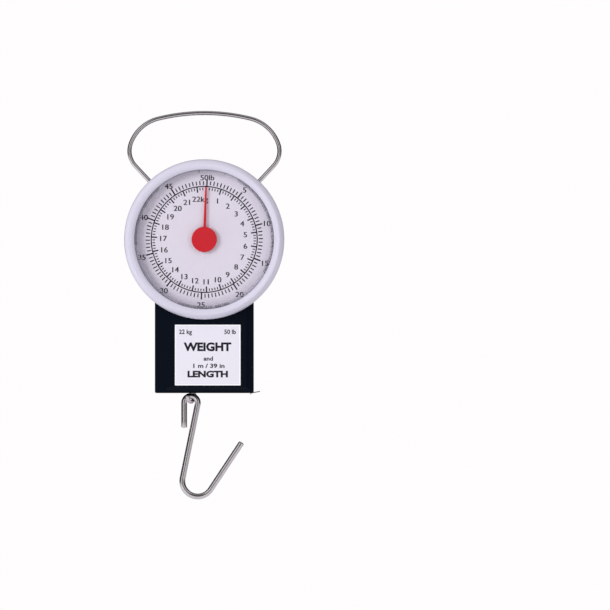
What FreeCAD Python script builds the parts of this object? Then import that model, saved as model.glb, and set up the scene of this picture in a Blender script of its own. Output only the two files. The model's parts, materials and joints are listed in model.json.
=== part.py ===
import FreeCAD, Part
import math
import os

# Hanging spring scale with a round dial, a wire handle, a swinging hook and a built-in tape measure.
# Millimetres. Z is up, the dial faces -Y and its centre is on the Z axis. The origin is the underside
# of the handle wire at the top of the grip. Sub-parts are drawn about the centre of the dial and
# lowered into place when they are saved. Y = 0 is the plane in which the load hangs.

V = FreeCAD.Vector
X_AXIS, Y_AXIS, Z_AXIS = V(1, 0, 0), V(0, 1, 0), V(0, 0, 1)

# ---- Driving dimensions -------------------------------------------------------------------------

# Case
CASE_R = 46.5             # round part of the case
WALL = 2.0                # case wall
BOX_HALF_WIDTH = 29.6     # lower box, half its width
BOX_DROP = 92.1           # centre of the dial to the bottom of the box
BOX_FLOOR = 1.2           # bottom wall
BACK_ROUND = 1.4          # rounding of the back edges
CORNER_ROUND = 1.0        # rounding of the bottom corners
PANEL_RISE = 1.5          # raised panel on the front of the box
PANEL_BEVEL = 2.2         # width of its sloping edge
STRIP_LEFT = 6.0          # plain strip left of the panel
STRIP_RIGHT = 2.4         # plain strip right of the panel
STRIP_BOTTOM = 1.6        # plain strip below the panel
BOSS_R = 3.0              # screw bosses
BOSS_SLEEVE = 0.6         # extra radius of the back half's bosses
BOSS_INSET = 2.6          # centre of a boss from the wall it grows out of
SCREW_R = 1.3             # case screws
SCREW_HEAD_R = 2.6
SCREW_HEAD_T = 1.8
SCREW_BITE = 8.0          # thread in the front half
SCREW_SINK = 3.0          # head recess, from the back face
DRIVE_DEPTH = 0.5         # drive recess of every screw, as a share of the head's thickness
DRIVE_REACH = 0.55        # its arms, as a share of the head's radius
DRIVE_WIDTH = 0.12        # half the width of an arm, likewise
TOP_SCREW_ANGLE = 62.0    # degrees from the top
MID_SCREW_GAP = 4.8       # middle screws below the round case
REEL_SCREW_GAP = 1.0      # lower right boss to the wound tape
THUMB_RECESS = (2.5, 0.8, 1.5)  # shallow recess round the wheel's window: beside, deep, above and below

# Bezel, lens and dial
BEZEL_OVERHANG = 1.5      # beyond the round case
BEZEL_RISE = 7.0          # crest in front of its seat
BEZEL_CREST = 2.7         # crest inside the outer edge
BEZEL_SIDE = 1.6          # straight part of the outer side
BEZEL_SHOULDER = (0.75, 0.7)  # middle of the rounding: inside the outer edge, share of the rise
BEZEL_DISH = 0.35         # middle of the dished part behind the crest
BEZEL_LIP = 0.3           # inner lip behind the front of the lens
SPIGOT_WALL = 1.7         # bezel's spigot in the case
SEAT_DEPTH = 2.3          # bezel seat to the front of the ledge
LENS_WALL = 1.5
LENS_RISE = 5.7           # lens front in front of the bezel seat
LENS_EDGE = 1.4           # rounded front edge of the lens
FLANGE = 0.8              # lens flange, width and thickness
DIAL_T = 1.0              # dial plate
LEDGE_T = 1.8             # ring that carries the dial plate
LEDGE_WIDTH = 5.0
DIAL_HOLE_PLAY = 1.0      # hole of the dial plate round the front bush

# Label
LABEL_MARGINS = (6.0, 5.4)  # foot of the panel to the label, left and right
LABEL_GAP_BELOW = 4.6     # box bottom to the lower edge of the label
LABEL_GAP_ABOVE = 3.1     # upper edge of the label to the bezel
LABEL_T = 0.2
LABEL_SINK = 0.25

# Rounded end of a wire, as shares of the wire's radius
DOME_HEIGHT = 0.35
DOME_TIP = 0.7

# Handle: one wire, each half made of a flat top arc, a shoulder arc, a closing arc and a straight leg
HANDLE_WIRE_R = 1.3
HANDLE_RISE = 76.0        # centre of the dial to the wire's centreline at the top
TOP_ARC_R, TOP_ARC_TURN = 116.7, 13.7
SHOULDER_R, SHOULDER_TURN = 23.6, 57.0
CLOSING_R, CLOSING_TURN = 13.1, 62.3
FOOT_BEND_R = 2.6
FOOT_DEPTH = 9.4          # end of each foot in front of the parting plane
FOOT_INSET = 8.5          # feet inside the wall of the round case

# Hook
HOOK_WIRE_R = 1.75
HOOK_PLAY = 1.15          # hook's top bend round the eye's wire
HOOK_TOP_TURN = 191.5
HOOK_TAIL = 14.5          # short leg
HOOK_SHANK = 45.3
HOOK_BEND_R = 9.25        # bottom bend, centreline
HOOK_BEND_TURN = 158.0
HOOK_TIP = 33.4           # open leg

# Load rod: straight rod with an eye at its lower end
ROD_X = -8.1              # line of the load
ROD_R = 1.2
EYE_PLAY = 0.85           # eye round the hook's wire
EYE_NECK_R = 1.6          # bend from the rod into the eye
EYE_DROP = 1.6            # centre of the eye below the bottom of the box
EYE_TURN = 32.0           # plane of the eye, degrees from the YZ plane
EYE_WRAP = 250.0          # degrees of arc
ROD_HOLE_PLAY = 0.5       # hole in the bottom of the case round the eye
COLLAR_R = 2.5
COLLAR_H = 2.6

# Weighing frame plate
PLATE_T = 1.5
PLATE_GAP = 2.5           # plate to the round case
TAB_DROP = 12.0           # top of the bent tab below the wall of the round case
PLATE_BOTTOM = 18.0
PLATE_HALF_WIDTH = 30.0
TAB_HALF_WIDTH = 9.0
TAB_TO_BACK = 0.9         # tab to the back wall
PLATE_POSTS = ((20.0, 8.0), (-22.0, 2.0), (12.0, -14.0))
PLATE_SCREW_R = 1.2
PLATE_SCREW_HEAD_R = 2.4
PLATE_SCREW_HEAD_T = 1.2
PLATE_SCREW_BITE = 6.0
PLATE_SCREW_PLAY = 0.2
WASHER_R = 3.2
WASHER_T = 0.8

# Zero adjuster and anchor
WHEEL_RECESS = 0.9        # rim of the wheel inside the back face
WHEEL_H = 4.0
WHEEL_LIFT = 0.2          # wheel above the tab
WHEEL_FLUTES = 28
FLUTE_R = 0.5
ANCHOR_R = 1.95
ANCHOR_ABOVE_WHEEL = 3.3
ANCHOR_EYE_R = 4.2
ANCHOR_EYE_T = 2.0
ANCHOR_HOLE_PLAY = 0.7    # hole round the spring's wire
ANCHOR_ROOT = 0.8         # rod's lower end above the hole
ZERO_TRAVEL = 1.05

# Main spring
SPRING_WIRE_R = 1.1
SPRING_MEAN_R = 4.8
SPRING_COIL_GAP = 0.28
SPRING_STEM = 2.0
SPRING_TO_BACK = 1.0      # coils to the back wall
SPRING_TO_PLATE = 0.4     # coils to the frame plate
TOP_LOOP_DROP = 0.3       # upper hook below the middle of the anchor's hole
ELBOW_R = 1.15            # ball where the coil turns into its hook
ELBOW_BACK = 0.05         # its centre back along the coil

# Carriage, rack and pinion
SPRING_PIN_R = 1.5
SPRING_PIN_DROP = 21.65   # below the centre of the dial
EAR_T = 1.2
EAR_GAP = 5.6             # between the ears
EAR_WIDTH = 7.0
EAR_ABOVE_PIN = 0.4
SHELF_T = 1.5
LOOP_TO_COLLAR = 0.4      # lower hook of the spring to the rod's collar
SHELF_LEFT = 5.0          # shelf left of the load line
SHELF_RIGHT = 0.5         # shelf beyond the back of the rack
LUG_T = 1.5
LUG_HEIGHT = 8.5
LUG_WIDTH = 5.0
GEAR_MODULE = 0.5
PINION_TEETH = 8
GEAR_WIDTH = 2.4
RACK_T = 2.0
RACK_BACK = 4.5           # pitch line to the back of the rack
RACK_TRAVEL = 12.57       # full scale, one turn of the pointer
RACK_MARGIN = 3.0         # teeth beyond the travel at each end
RACK_PLAIN = 1.5          # plain strip above the teeth
RACK_ROOT, RACK_TIP = 1.25, 0.46      # depth and height of the rack's teeth, in modules
PINION_ROOT, PINION_TIP = 1.1, 0.9    # depth and height of the pinion's teeth, in modules
PRESSURE_ANGLE = 20.0
BACKLASH = 0.06
RIVET_R = 0.8
RIVET_HEAD_R = 1.3
RIVET_HEAD_T = 0.4
RACK_RIVET_SHIFT = 0.3    # right of the middle of the rack
RACK_RIVET_LIFT = 2.0     # lower rivet above the shelf
RACK_RIVET_SPACING = 4.5
SHAFT_R = 1.0
SHAFT_FRONT = 0.6         # shaft in front of the needle
SHAFT_REAR = 1.8          # shaft behind the frame plate
BUSH_R = 2.0
BUSH_PROUD = 0.2
BRIDGE_T = 1.0
BRIDGE_TO_DIAL = 0.8      # room for the bridge's screw heads
PINION_GAP = 0.4          # pinion to the plate and to the bridge
RACK_GAP = 0.6            # rack to the plate
BRIDGE_HALF_WIDTH = 3.0
BRIDGE_POST = (14.0, -7.0)   # second post is opposite
BRIDGE_POST_R = 2.0
BRIDGE_SCREW_R = 0.8
BRIDGE_SCREW_HEAD_R = 1.7
BRIDGE_SCREW_HEAD_T = 0.6
BRIDGE_SCREW_TIP = 1.0    # tip of the screw in front of the frame plate
BRIDGE_BORE_END = 0.6     # end of its hole in front of the frame plate
BRIDGE_HOLE_PLAY = 0.1
STUD_WALL = 0.4           # stud of a bridge post round its screw
STUD_HEAD_T = 0.6         # riveted head of the stud
GUIDE_WIDTH = 3.0
GUIDE_HEIGHT = 8.0
GUIDE_PEG_R = 0.8

# Pointer
POINTER_HUB_R = 7.6
POINTER_HUB_T = 1.0
POINTER_HUB_SINK = 0.1    # hub into the needle
POINTER_HUB_EDGE = 0.4    # rounded front edge
POINTER_BOSS_R = 2.4
POINTER_BOSS_T = 1.8
POINTER_REACH = 31.5
POINTER_BASE_WIDTH = 1.8
POINTER_TIP_WIDTH = 1.0
POINTER_T = 0.6
POINTER_GAP = 1.2         # needle in front of the dial plate
POINTER_ANGLE = 2.0       # needle at rest, degrees clockwise from the top

# Tape measure
TAPE_WIDTH = 10.0
TAPE_T = 0.27
TAPE_FRONT = 8.0          # front edge of the tape, in front of the parting plane
COIL_R = 12.05
REEL_TO_ROD = 0.55        # wound tape to the rod's hole
DRUM_R = 7.55
DRUM_WALL = 0.55
DRUM_BACK_T = 0.8
AXLE_R = 1.8
CLIP_R = 3.4
CLIP_T = 0.6
DRUM_PLAY = 0.2           # drum to the tape's back edge and to its clip
COIL_TO_BLADE = 0.3
TAPE_OVER_FLOOR = 0.18
POWER_TURNS = 6
POWER_T = 0.2
POWER_TO_AXLE = 0.4
POWER_TO_WALL = 0.3
POWER_INSET = 0.4         # spring inside the edges of the tape
TAB_T = 0.5
TAB_GRIP = 5.6            # tab on top of the tape
TAB_LIP = 3.0             # lip below the top of the tab
TAB_TONGUE = 0.6          # tongue above the end of the lip
TAB_REACH = 3.7           # tongue beyond the side of the case
TAB_CLIMB = 0.9           # rise of the tongue over its length

# Named clearances
WIRE_GAP = 0.1            # wire in its channel through the case
SEAT_GAP = 0.1            # pieces that drop in against a shoulder
RING_GAP = 0.15           # pieces that fit inside one another
RUNNING_GAP = 0.04        # turning or sliding fits
SCREW_GAP = 0.3           # screw shank in its clearance hole
HANG_GAP = 0.05           # spring loop over its pin
HOOK_BEARING = 0.3543     # hook over the lowest point of the eye, whose sides it bears on, in wire radii
WINDOW_GAP = 0.8          # wheel to the edges of its window
MOUTH_GAP = 0.75          # tape end to the top of its mouth
MOUTH_SIDE_GAP = 0.4      # tape to the sides of its mouth
ANCHOR_GAP = 0.25         # anchor in the hole of the tab
ROD_GAP = 0.08            # rod in the hole of the shelf
RACK_SEAT_GAP = 0.3       # foot of the rack to the shelf
DIAL_GAP = 0.25           # dial plate in the bezel's spigot
ANCHOR_EYE_GAP = 0.25     # anchor's eye to the tab when it is wound right up
BOSS_GAP = 1.0            # frame plate to the bosses of the case

# Drawing aids
PAST = 1.0                # a cutting shape runs this far past the surface it cuts
INTO = 0.5                # a piece that grows out of a wall starts this far inside it
NEAR = 0.01               # two positions closer than this are the same edge

# ---- Places worked out from them ----------------------------------------------------------------

DIAL_Z = HANDLE_WIRE_R - HANDLE_RISE
CASE_IN = CASE_R - WALL
BOX_IN = BOX_HALF_WIDTH - WALL
FLOOR_TOP = -BOX_DROP + BOX_FLOOR

# Depths, from the back face to the front of the lens
SPRING_R = SPRING_MEAN_R + SPRING_WIRE_R
BACK_IN = SPRING_R + SPRING_TO_BACK
BACK_DEPTH = BACK_IN + WALL
PLATE_REAR = -SPRING_R - SPRING_TO_PLATE
PLATE_Y = PLATE_REAR - PLATE_T
RACK_REAR = PLATE_Y - RACK_GAP
RACK_FRONT = RACK_REAR - RACK_T
GEAR_REAR = PLATE_Y - PINION_GAP
GEAR_FRONT = GEAR_REAR - GEAR_WIDTH
BRIDGE_REAR = GEAR_FRONT - PINION_GAP
BRIDGE_FRONT = BRIDGE_REAR - BRIDGE_T
LEDGE_FRONT = BRIDGE_FRONT - BRIDGE_TO_DIAL
LEDGE_REAR = LEDGE_FRONT + LEDGE_T
DIAL_FRONT = LEDGE_FRONT - DIAL_T
BEZEL_SEAT = LEDGE_FRONT - SEAT_DEPTH
STRIP_FRONT = BEZEL_SEAT + PANEL_RISE
NEEDLE_REAR = DIAL_FRONT - POINTER_GAP
LENS_FRONT = BEZEL_SEAT - LENS_RISE
LUG_REAR = RACK_REAR + LUG_T
TAPE_REAR = TAPE_WIDTH - TAPE_FRONT
DRUM_REAR = TAPE_REAR + DRUM_PLAY
SHAFT_TIP = NEEDLE_REAR - POINTER_T - SHAFT_FRONT

# Rings round the dial
SPIGOT_OUT = CASE_IN - RING_GAP
SPIGOT_IN = SPIGOT_OUT - SPIGOT_WALL
LENS_R = SPIGOT_IN - RING_GAP - FLANGE
DIAL_R = SPIGOT_IN - DIAL_GAP
BEZEL_R = CASE_R + BEZEL_OVERHANG

# Panel and label on the front of the box
PANEL = (-BOX_HALF_WIDTH + STRIP_LEFT, BOX_HALF_WIDTH - STRIP_RIGHT, -BOX_DROP + STRIP_BOTTOM)
LABEL = (PANEL[0] + LABEL_MARGINS[0], PANEL[1] - LABEL_MARGINS[1],
         -BOX_DROP + LABEL_GAP_BELOW, -BEZEL_R - LABEL_GAP_ABOVE)

# Frame plate, zero adjuster, spring and carriage, from the top down
PLATE_R = CASE_IN - PLATE_GAP
PLATE_TOP = CASE_IN - TAB_DROP
TAB_UNDER = PLATE_TOP - PLATE_T
STUD_R = BRIDGE_SCREW_R + STUD_WALL
FOOT_R = CASE_IN - FOOT_INSET
WHEEL_R = BACK_DEPTH - WHEEL_RECESS
WHEEL_Z = PLATE_TOP + WHEEL_LIFT
ANCHOR_HOLE_R = SPRING_WIRE_R + ANCHOR_HOLE_PLAY
ANCHOR_EYE_Z = TAB_UNDER - ANCHOR_EYE_R - ZERO_TRAVEL - ANCHOR_EYE_GAP
TOP_LOOP_Z = ANCHOR_EYE_Z - TOP_LOOP_DROP - SPRING_MEAN_R
LOOP_BOTTOM = -SPRING_PIN_DROP - SPRING_PIN_R - HANG_GAP - 2 * SPRING_WIRE_R
LOW_LOOP_Z = LOOP_BOTTOM + SPRING_WIRE_R + SPRING_MEAN_R
SHELF_TOP = LOOP_BOTTOM - LOOP_TO_COLLAR - COLLAR_H - SEAT_GAP
PITCH_R = GEAR_MODULE * PINION_TEETH / 2
RACK_BACK_X = PITCH_R + RACK_BACK

# Eye and hook
EYE_R = HOOK_WIRE_R + EYE_PLAY + ROD_R
ROD_HOLE_R = EYE_R + ROD_R + ROD_HOLE_PLAY
EYE_Z = -BOX_DROP - EYE_DROP
HOOK_TOP_R = HOOK_WIRE_R + HOOK_PLAY + ROD_R
HOOK_TOP_Z = EYE_Z - EYE_R + ROD_R + (1 + HOOK_BEARING) * HOOK_WIRE_R - HOOK_TOP_R

# Tape reel
BLADE_TOP = FLOOR_TOP + TAPE_OVER_FLOOR + TAPE_T
REEL_Z = BLADE_TOP + COIL_TO_BLADE + COIL_R
REEL_X = ROD_X + ROD_HOLE_R + COIL_R + REEL_TO_ROD


# ---- Shape helpers ------------------------------------------------------------------------------

def block(x0, x1, y0, y1, z0, z1):
    """Box between two corners."""
    return Part.makeBox(x1 - x0, y1 - y0, z1 - z0, V(x0, y0, z0))


def disc(r, y0, y1, x=0.0, z=0.0):
    """Cylinder along Y."""
    return Part.makeCylinder(r, y1 - y0, V(x, y0, z), Y_AXIS)


def ring(r_out, r_in, y0, y1, x=0.0, z=0.0):
    """Tube along Y."""
    return disc(r_out, y0, y1, x, z).cut(disc(r_in, y0 - PAST, y1 + PAST, x, z))


def post(r, z0, z1, x=0.0, y=0.0):
    """Cylinder along Z."""
    return Part.makeCylinder(r, z1 - z0, V(x, y, z0), Z_AXIS)


def fuse(shapes):
    """Union of several solids, with the joins cleaned up."""
    first, rest = shapes[0], shapes[1:]
    return (first.multiFuse(rest) if rest else first).removeSplitter()


def polar(r, degrees_from_top):
    """X and Z of a point on the dial's circle, clockwise from the top."""
    a = math.radians(degrees_from_top)
    return r * math.sin(a), r * math.cos(a)


def trace(start, heading, steps):
    """Edges of a path that runs and bends. A step is (length,) or (radius, degrees, axis)."""
    at, heading, edges = V(start), V(heading).normalize(), []
    for step in steps:
        if len(step) == 1:
            end = at + heading * step[0]
            edges.append(Part.LineSegment(at, end).toShape())
        else:
            radius, turn, axis = step
            centre = at + axis.cross(heading) * radius
            half = FreeCAD.Rotation(axis, turn / 2)
            whole = FreeCAD.Rotation(axis, turn)
            middle = centre + half.multVec(at - centre)
            end = centre + whole.multVec(at - centre)
            edges.append(Part.Arc(at, middle, end).toShape())
            heading = whole.multVec(heading)
        at = end
    return edges, at, heading


def wire_rod(edges, start, heading, r):
    """Round wire of radius r along a path."""
    section = Part.Wire([Part.Circle(start, heading, r).toShape()])
    return Part.Wire(edges).makePipeShell([section], True, True)


def dome(at, heading, r):
    """Rounded end for a wire of radius r: a shallow cone."""
    return Part.makeCone(r, DOME_TIP * r, DOME_HEIGHT * r, at, heading)


def screw(x, z, head_y, tip_y, r, head_r, head_t):
    """Screw along Y with a drive recess. The head is at head_y and grows away from the tip."""
    sign = 1 if tip_y > head_y else -1
    low, high = sorted((head_y, tip_y))
    head_low, head_high = sorted((head_y, head_y - sign * head_t))
    body = disc(r, low, high, x, z).fuse(disc(head_r, head_low, head_high, x, z))
    outer = head_y - sign * head_t
    slot_low, slot_high = sorted((outer, outer + sign * head_t * DRIVE_DEPTH))
    arm, across = head_r * DRIVE_REACH, head_r * DRIVE_WIDTH
    for dx, dz in ((arm, across), (across, arm)):
        body = body.cut(block(x - dx, x + dx, slot_low, slot_high, z - dz, z + dz))
    return body


def spiral_band(r_in, turns, pitch, thick, x, z, y0, y1):
    """Flat strip wound in half circles that grow outwards, extruded along Y."""
    outer_edges, inner_edges = [], []
    for edges, offset in ((outer_edges, thick), (inner_edges, 0.0)):
        for half in range(2 * turns):
            shift = 0.0 if half % 2 == 0 else pitch / 2
            radius = r_in + half * pitch / 2 + offset
            side = 1 if half % 2 == 0 else -1
            a = V(x + shift + side * radius, y0, z)
            b = V(x + shift, y0, z + side * radius)
            c = V(x + shift - side * radius, y0, z)
            edges.append(Part.Arc(a, b, c).toShape())
    first = Part.LineSegment(outer_edges[0].Vertexes[0].Point, inner_edges[0].Vertexes[0].Point)
    last = Part.LineSegment(outer_edges[-1].Vertexes[-1].Point, inner_edges[-1].Vertexes[-1].Point)
    edges = outer_edges + [last.toShape()] + inner_edges[::-1] + [first.toShape()]
    outline = Part.Wire(Part.__sortEdges__(edges))
    return Part.Face(outline).extrude(V(0, y1 - y0, 0))


def save(name, shape):
    """Write one node, lowered from the dial's centre to the origin of the part."""
    shape = shape.copy()
    shape.translate(V(0, 0, DIAL_Z))
    shape.exportStep(os.path.join("parts", name + ".step"))


# ---- Places shared by several pieces ------------------------------------------------------------

def case_screw_places():
    """Centres of the six case screws."""
    top_x, top_z = polar(CASE_IN - BOSS_INSET, TOP_SCREW_ANGLE)
    side = BOX_IN - BOSS_INSET
    mid_z = -math.sqrt(CASE_R ** 2 - side ** 2) - MID_SCREW_GAP
    reach = COIL_R + BOSS_R + BOSS_SLEEVE + REEL_SCREW_GAP
    above_reel = math.sqrt(max(0.0, reach ** 2 - (side - REEL_X) ** 2))
    return [
        (-top_x, top_z), (top_x, top_z), (-side, mid_z), (side, mid_z),
        (-side, FLOOR_TOP + BOSS_INSET), (side, REEL_Z + above_reel),
    ]


def bridge_places():
    """Centres of the two bridge posts."""
    x, z = BRIDGE_POST
    return [(x, z), (-x, -z)]


def rivet_places():
    """Centres of the two rivets that hold the rack to the carriage."""
    x = (RACK_BACK_X + PITCH_R) / 2 + RACK_RIVET_SHIFT
    low = SHELF_TOP + RACK_RIVET_LIFT
    return [(x, low), (x, low + RACK_RIVET_SPACING)]


# ---- Handle -------------------------------------------------------------------------------------

def handle_half(r):
    """Right half of the handle wire at radius r, from the middle of the grip to the foot, and the foot."""
    bends = [
        (TOP_ARC_R, TOP_ARC_TURN, Y_AXIS),
        (SHOULDER_R, SHOULDER_TURN, Y_AXIS),
        (CLOSING_R, CLOSING_TURN, Y_AXIS),
    ]
    start = V(0, 0, HANDLE_RISE)
    closing_end, heading = trace(start, X_AXIS, bends)[1:]
    leg = math.hypot(closing_end.x, closing_end.z) - FOOT_R - FOOT_BEND_R
    foot_axis = heading.cross(-Y_AXIS)
    steps = bends + [(leg,), (FOOT_BEND_R, 90.0, foot_axis), (FOOT_DEPTH - FOOT_BEND_R,)]
    edges, foot = trace(start, X_AXIS, steps)[:2]
    return wire_rod(edges, start, X_AXIS, r), foot


def handle_wire(r):
    """Both halves of the handle at wire radius r."""
    right = handle_half(r)[0]
    return fuse([right, right.mirror(V(0, 0, 0), X_AXIS)])


def handle():
    """Handle wire in one piece, its feet bent forward through the frame plate."""
    return handle_wire(HANDLE_WIRE_R)


def foot_places():
    """Centres of the two handle feet."""
    foot = handle_half(HANDLE_WIRE_R)[1]
    return [(-foot.x, foot.z), (foot.x, foot.z)]


def handle_washers():
    """Push-on washers that lock the feet to the frame plate."""
    washers = [ring(WASHER_R, HANDLE_WIRE_R, PLATE_Y - WASHER_T, PLATE_Y, x, z) for x, z in foot_places()]
    return Part.makeCompound(washers)


# ---- Case ---------------------------------------------------------------------------------------

def case_body(y0, y1, rounded):
    """Round case and lower box as one solid between two planes, with rounded back edges if asked."""
    drum = disc(CASE_R, y0, y1)
    box = block(-BOX_HALF_WIDTH, BOX_HALF_WIDTH, y0, y1, -BOX_DROP, 0)
    low = [e for e in box.Edges if abs(e.CenterOfMass.z + BOX_DROP) < NEAR
           and abs(abs(e.CenterOfMass.x) - BOX_HALF_WIDTH) < NEAR]
    box = box.makeFillet(CORNER_ROUND, low)
    if rounded:
        drum = drum.makeFillet(BACK_ROUND, [e for e in drum.Edges if abs(e.CenterOfMass.y - y1) < NEAR])
        rear = [e for e in box.Edges if abs(e.CenterOfMass.y - y1) < NEAR
                and abs(e.CenterOfMass.z) > NEAR]
        box = box.makeFillet(BACK_ROUND, rear)
    return drum.fuse(box)


def case_hollow(y0, y1):
    """Inside of the case between two planes."""
    return disc(CASE_IN, y0, y1).fuse(block(-BOX_IN, BOX_IN, y0, y1, FLOOR_TOP, 0))


def tape_mouth():
    """Corner opening that the tape leaves through."""
    inner = BOX_IN - SEAT_GAP
    top = BLADE_TOP + TAB_T + MOUTH_GAP
    front, rear = -TAPE_FRONT - MOUTH_SIDE_GAP, TAPE_REAR + MOUTH_SIDE_GAP
    return block(inner, BOX_HALF_WIDTH + PAST, front, rear, -BOX_DROP - PAST, top)


def rod_hole():
    """Hole in the bottom of the case for the load rod and its eye."""
    return post(ROD_HOLE_R, -BOX_DROP - PAST, FLOOR_TOP + PAST, ROD_X, 0)


def raised_panel():
    """Panel on the front of the box, with a sloping edge on the left, right and bottom."""
    left, right, bottom = PANEL
    def outline(inset, y):
        corners = [V(left + inset, y, 0), V(left + inset, y, bottom + inset),
                   V(right - inset, y, bottom + inset), V(right - inset, y, 0)]
        return Part.makePolygon(corners + corners[:1])
    return Part.makeLoft([outline(0, STRIP_FRONT), outline(PANEL_BEVEL, BEZEL_SEAT)], True, True)


def label_place(y0, y1):
    """Block over the label's outline between two planes."""
    left, right, low, high = LABEL
    return block(left, right, y0, y1, low, high)


def front_case():
    """Front half: dial recess with its ledge, panel with the label recess, bosses."""
    body = case_body(STRIP_FRONT, 0, False)
    body = body.fuse([disc(CASE_R, BEZEL_SEAT, 0), raised_panel()])
    body = body.cut([case_hollow(LEDGE_REAR, PAST), disc(CASE_IN, BEZEL_SEAT - PAST, LEDGE_FRONT)])
    body = body.cut(disc(CASE_IN - LEDGE_WIDTH, LEDGE_FRONT - PAST, 1))
    left, right, bottom = PANEL
    inset = PANEL_BEVEL + WALL
    pocket = block(left + inset, right - inset, BEZEL_SEAT + WALL, LEDGE_REAR + PAST, bottom + inset, 0)
    body = body.cut(pocket.cut(disc(CASE_R, BEZEL_SEAT - PAST, 1)))
    bosses = []
    for x, z in case_screw_places():
        bosses.append(disc(BOSS_R, LEDGE_REAR - INTO, 0, x, z))
    body = body.fuse([b.common(case_body(STRIP_FRONT, 0, False)) for b in bosses])
    body = body.cut([disc(SCREW_R, -SCREW_BITE, PAST, x, z) for x, z in case_screw_places()])
    body = body.cut([label_place(BEZEL_SEAT - PAST, BEZEL_SEAT + LABEL_SINK), tape_mouth(), rod_hole(),
                     handle_wire(HANDLE_WIRE_R + WIRE_GAP)])
    return body.removeSplitter()


def window_places():
    """Low and high corners, X and Z, of the zero wheel's window."""
    half = math.sqrt(WHEEL_R ** 2 - BACK_IN ** 2) + 2 * WINDOW_GAP
    return ROD_X - half, ROD_X + half, WHEEL_Z - WINDOW_GAP, WHEEL_Z + WHEEL_H + WINDOW_GAP


def rear_case():
    """Back half: bosses for the case screws and the frame plate, window for the zero wheel."""
    full = case_body(0, BACK_DEPTH, True)
    body = full.cut(case_hollow(-PAST, BACK_IN))
    sleeves = [disc(BOSS_R + BOSS_SLEEVE, 0, BACK_IN + INTO, x, z) for x, z in case_screw_places()]
    posts = [disc(BOSS_R, PLATE_REAR, BACK_IN + INTO, x, z) for x, z in PLATE_POSTS]
    body = body.fuse([sleeve.common(full) for sleeve in sleeves] + posts)
    for x, z in case_screw_places():
        body = body.cut(disc(SCREW_R + SCREW_GAP, -PAST, BACK_DEPTH, x, z))
        body = body.cut(disc(SCREW_HEAD_R + SCREW_GAP, BACK_DEPTH - SCREW_SINK, BACK_DEPTH + PAST, x, z))
    bite = PLATE_REAR + PLATE_SCREW_BITE
    body = body.cut([disc(PLATE_SCREW_R, PLATE_REAR - PAST, bite, x, z) for x, z in PLATE_POSTS])
    left, right, low, high = window_places()
    body = body.cut(block(left, right, BACK_IN - PAST, BACK_DEPTH + PAST, low, high))
    beside, deep, above = THUMB_RECESS
    thumb = block(left - beside, right + beside, BACK_DEPTH - deep, BACK_DEPTH + PAST,
                  low - above, high + above)
    body = body.cut([thumb, tape_mouth(), rod_hole(), handle_wire(HANDLE_WIRE_R + WIRE_GAP)])
    return body.removeSplitter()


def case_screws():
    """Six screws, driven from the back, with sunk heads."""
    seat = BACK_DEPTH - SCREW_SINK
    tip = -SCREW_BITE
    return Part.makeCompound([
        screw(x, z, seat, tip, SCREW_R, SCREW_HEAD_R, SCREW_HEAD_T) for x, z in case_screw_places()
    ])


def bezel_ring():
    """White ring: rounded outside, dished towards the lens, with a spigot into the case."""
    out = BEZEL_R
    crest_r, crest = out - BEZEL_CREST, BEZEL_SEAT - BEZEL_RISE
    bore = LENS_R + RING_GAP
    lip = LENS_FRONT + BEZEL_LIP
    shoulder = DIAL_FRONT - FLANGE - SEAT_GAP
    end = LEDGE_FRONT - SEAT_GAP
    def p(r, y):
        return V(r, y, 0)
    def line(a, b):
        return Part.LineSegment(a, b).toShape()
    side_end = p(out, BEZEL_SEAT - BEZEL_SIDE)
    inside, share = BEZEL_SHOULDER
    outer_arc = Part.Arc(side_end, p(out - inside, BEZEL_SEAT - share * BEZEL_RISE), p(crest_r, crest))
    inner_arc = Part.Arc(p(crest_r, crest), p((crest_r + bore) / 2, crest + BEZEL_DISH), p(bore, lip))
    corners = [p(bore, lip), p(bore, shoulder), p(SPIGOT_IN, shoulder), p(SPIGOT_IN, end),
               p(SPIGOT_OUT, end), p(SPIGOT_OUT, BEZEL_SEAT), p(out, BEZEL_SEAT), side_end]
    edges = [line(a, b) for a, b in zip(corners, corners[1:])]
    edges += [outer_arc.toShape(), inner_arc.toShape()]
    face = Part.Face(Part.Wire(edges))
    return face.revolve(V(0, 0, 0), Y_AXIS, 360)


def lens():
    """Clear cup over the dial, held by its flange under the bezel."""
    cup = disc(LENS_R, LENS_FRONT, DIAL_FRONT)
    front = [e for e in cup.Edges if abs(e.CenterOfMass.y - LENS_FRONT) < NEAR]
    cup = cup.makeFillet(LENS_EDGE, front)
    inside = disc(LENS_R - LENS_WALL, LENS_FRONT + LENS_WALL, DIAL_FRONT + PAST)
    flange = ring(LENS_R + FLANGE, LENS_R - LENS_WALL, DIAL_FRONT - FLANGE, DIAL_FRONT)
    return cup.cut(inside).fuse(flange).removeSplitter()


def dial_plate():
    """Printed dial."""
    return ring(DIAL_R, BUSH_R + DIAL_HOLE_PLAY, DIAL_FRONT, LEDGE_FRONT)


def label():
    """Label in its recess on the panel."""
    sunk = BEZEL_SEAT + LABEL_SINK
    return label_place(sunk - LABEL_T, sunk)


# ---- Frame plate and bearings -------------------------------------------------------------------

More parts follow.
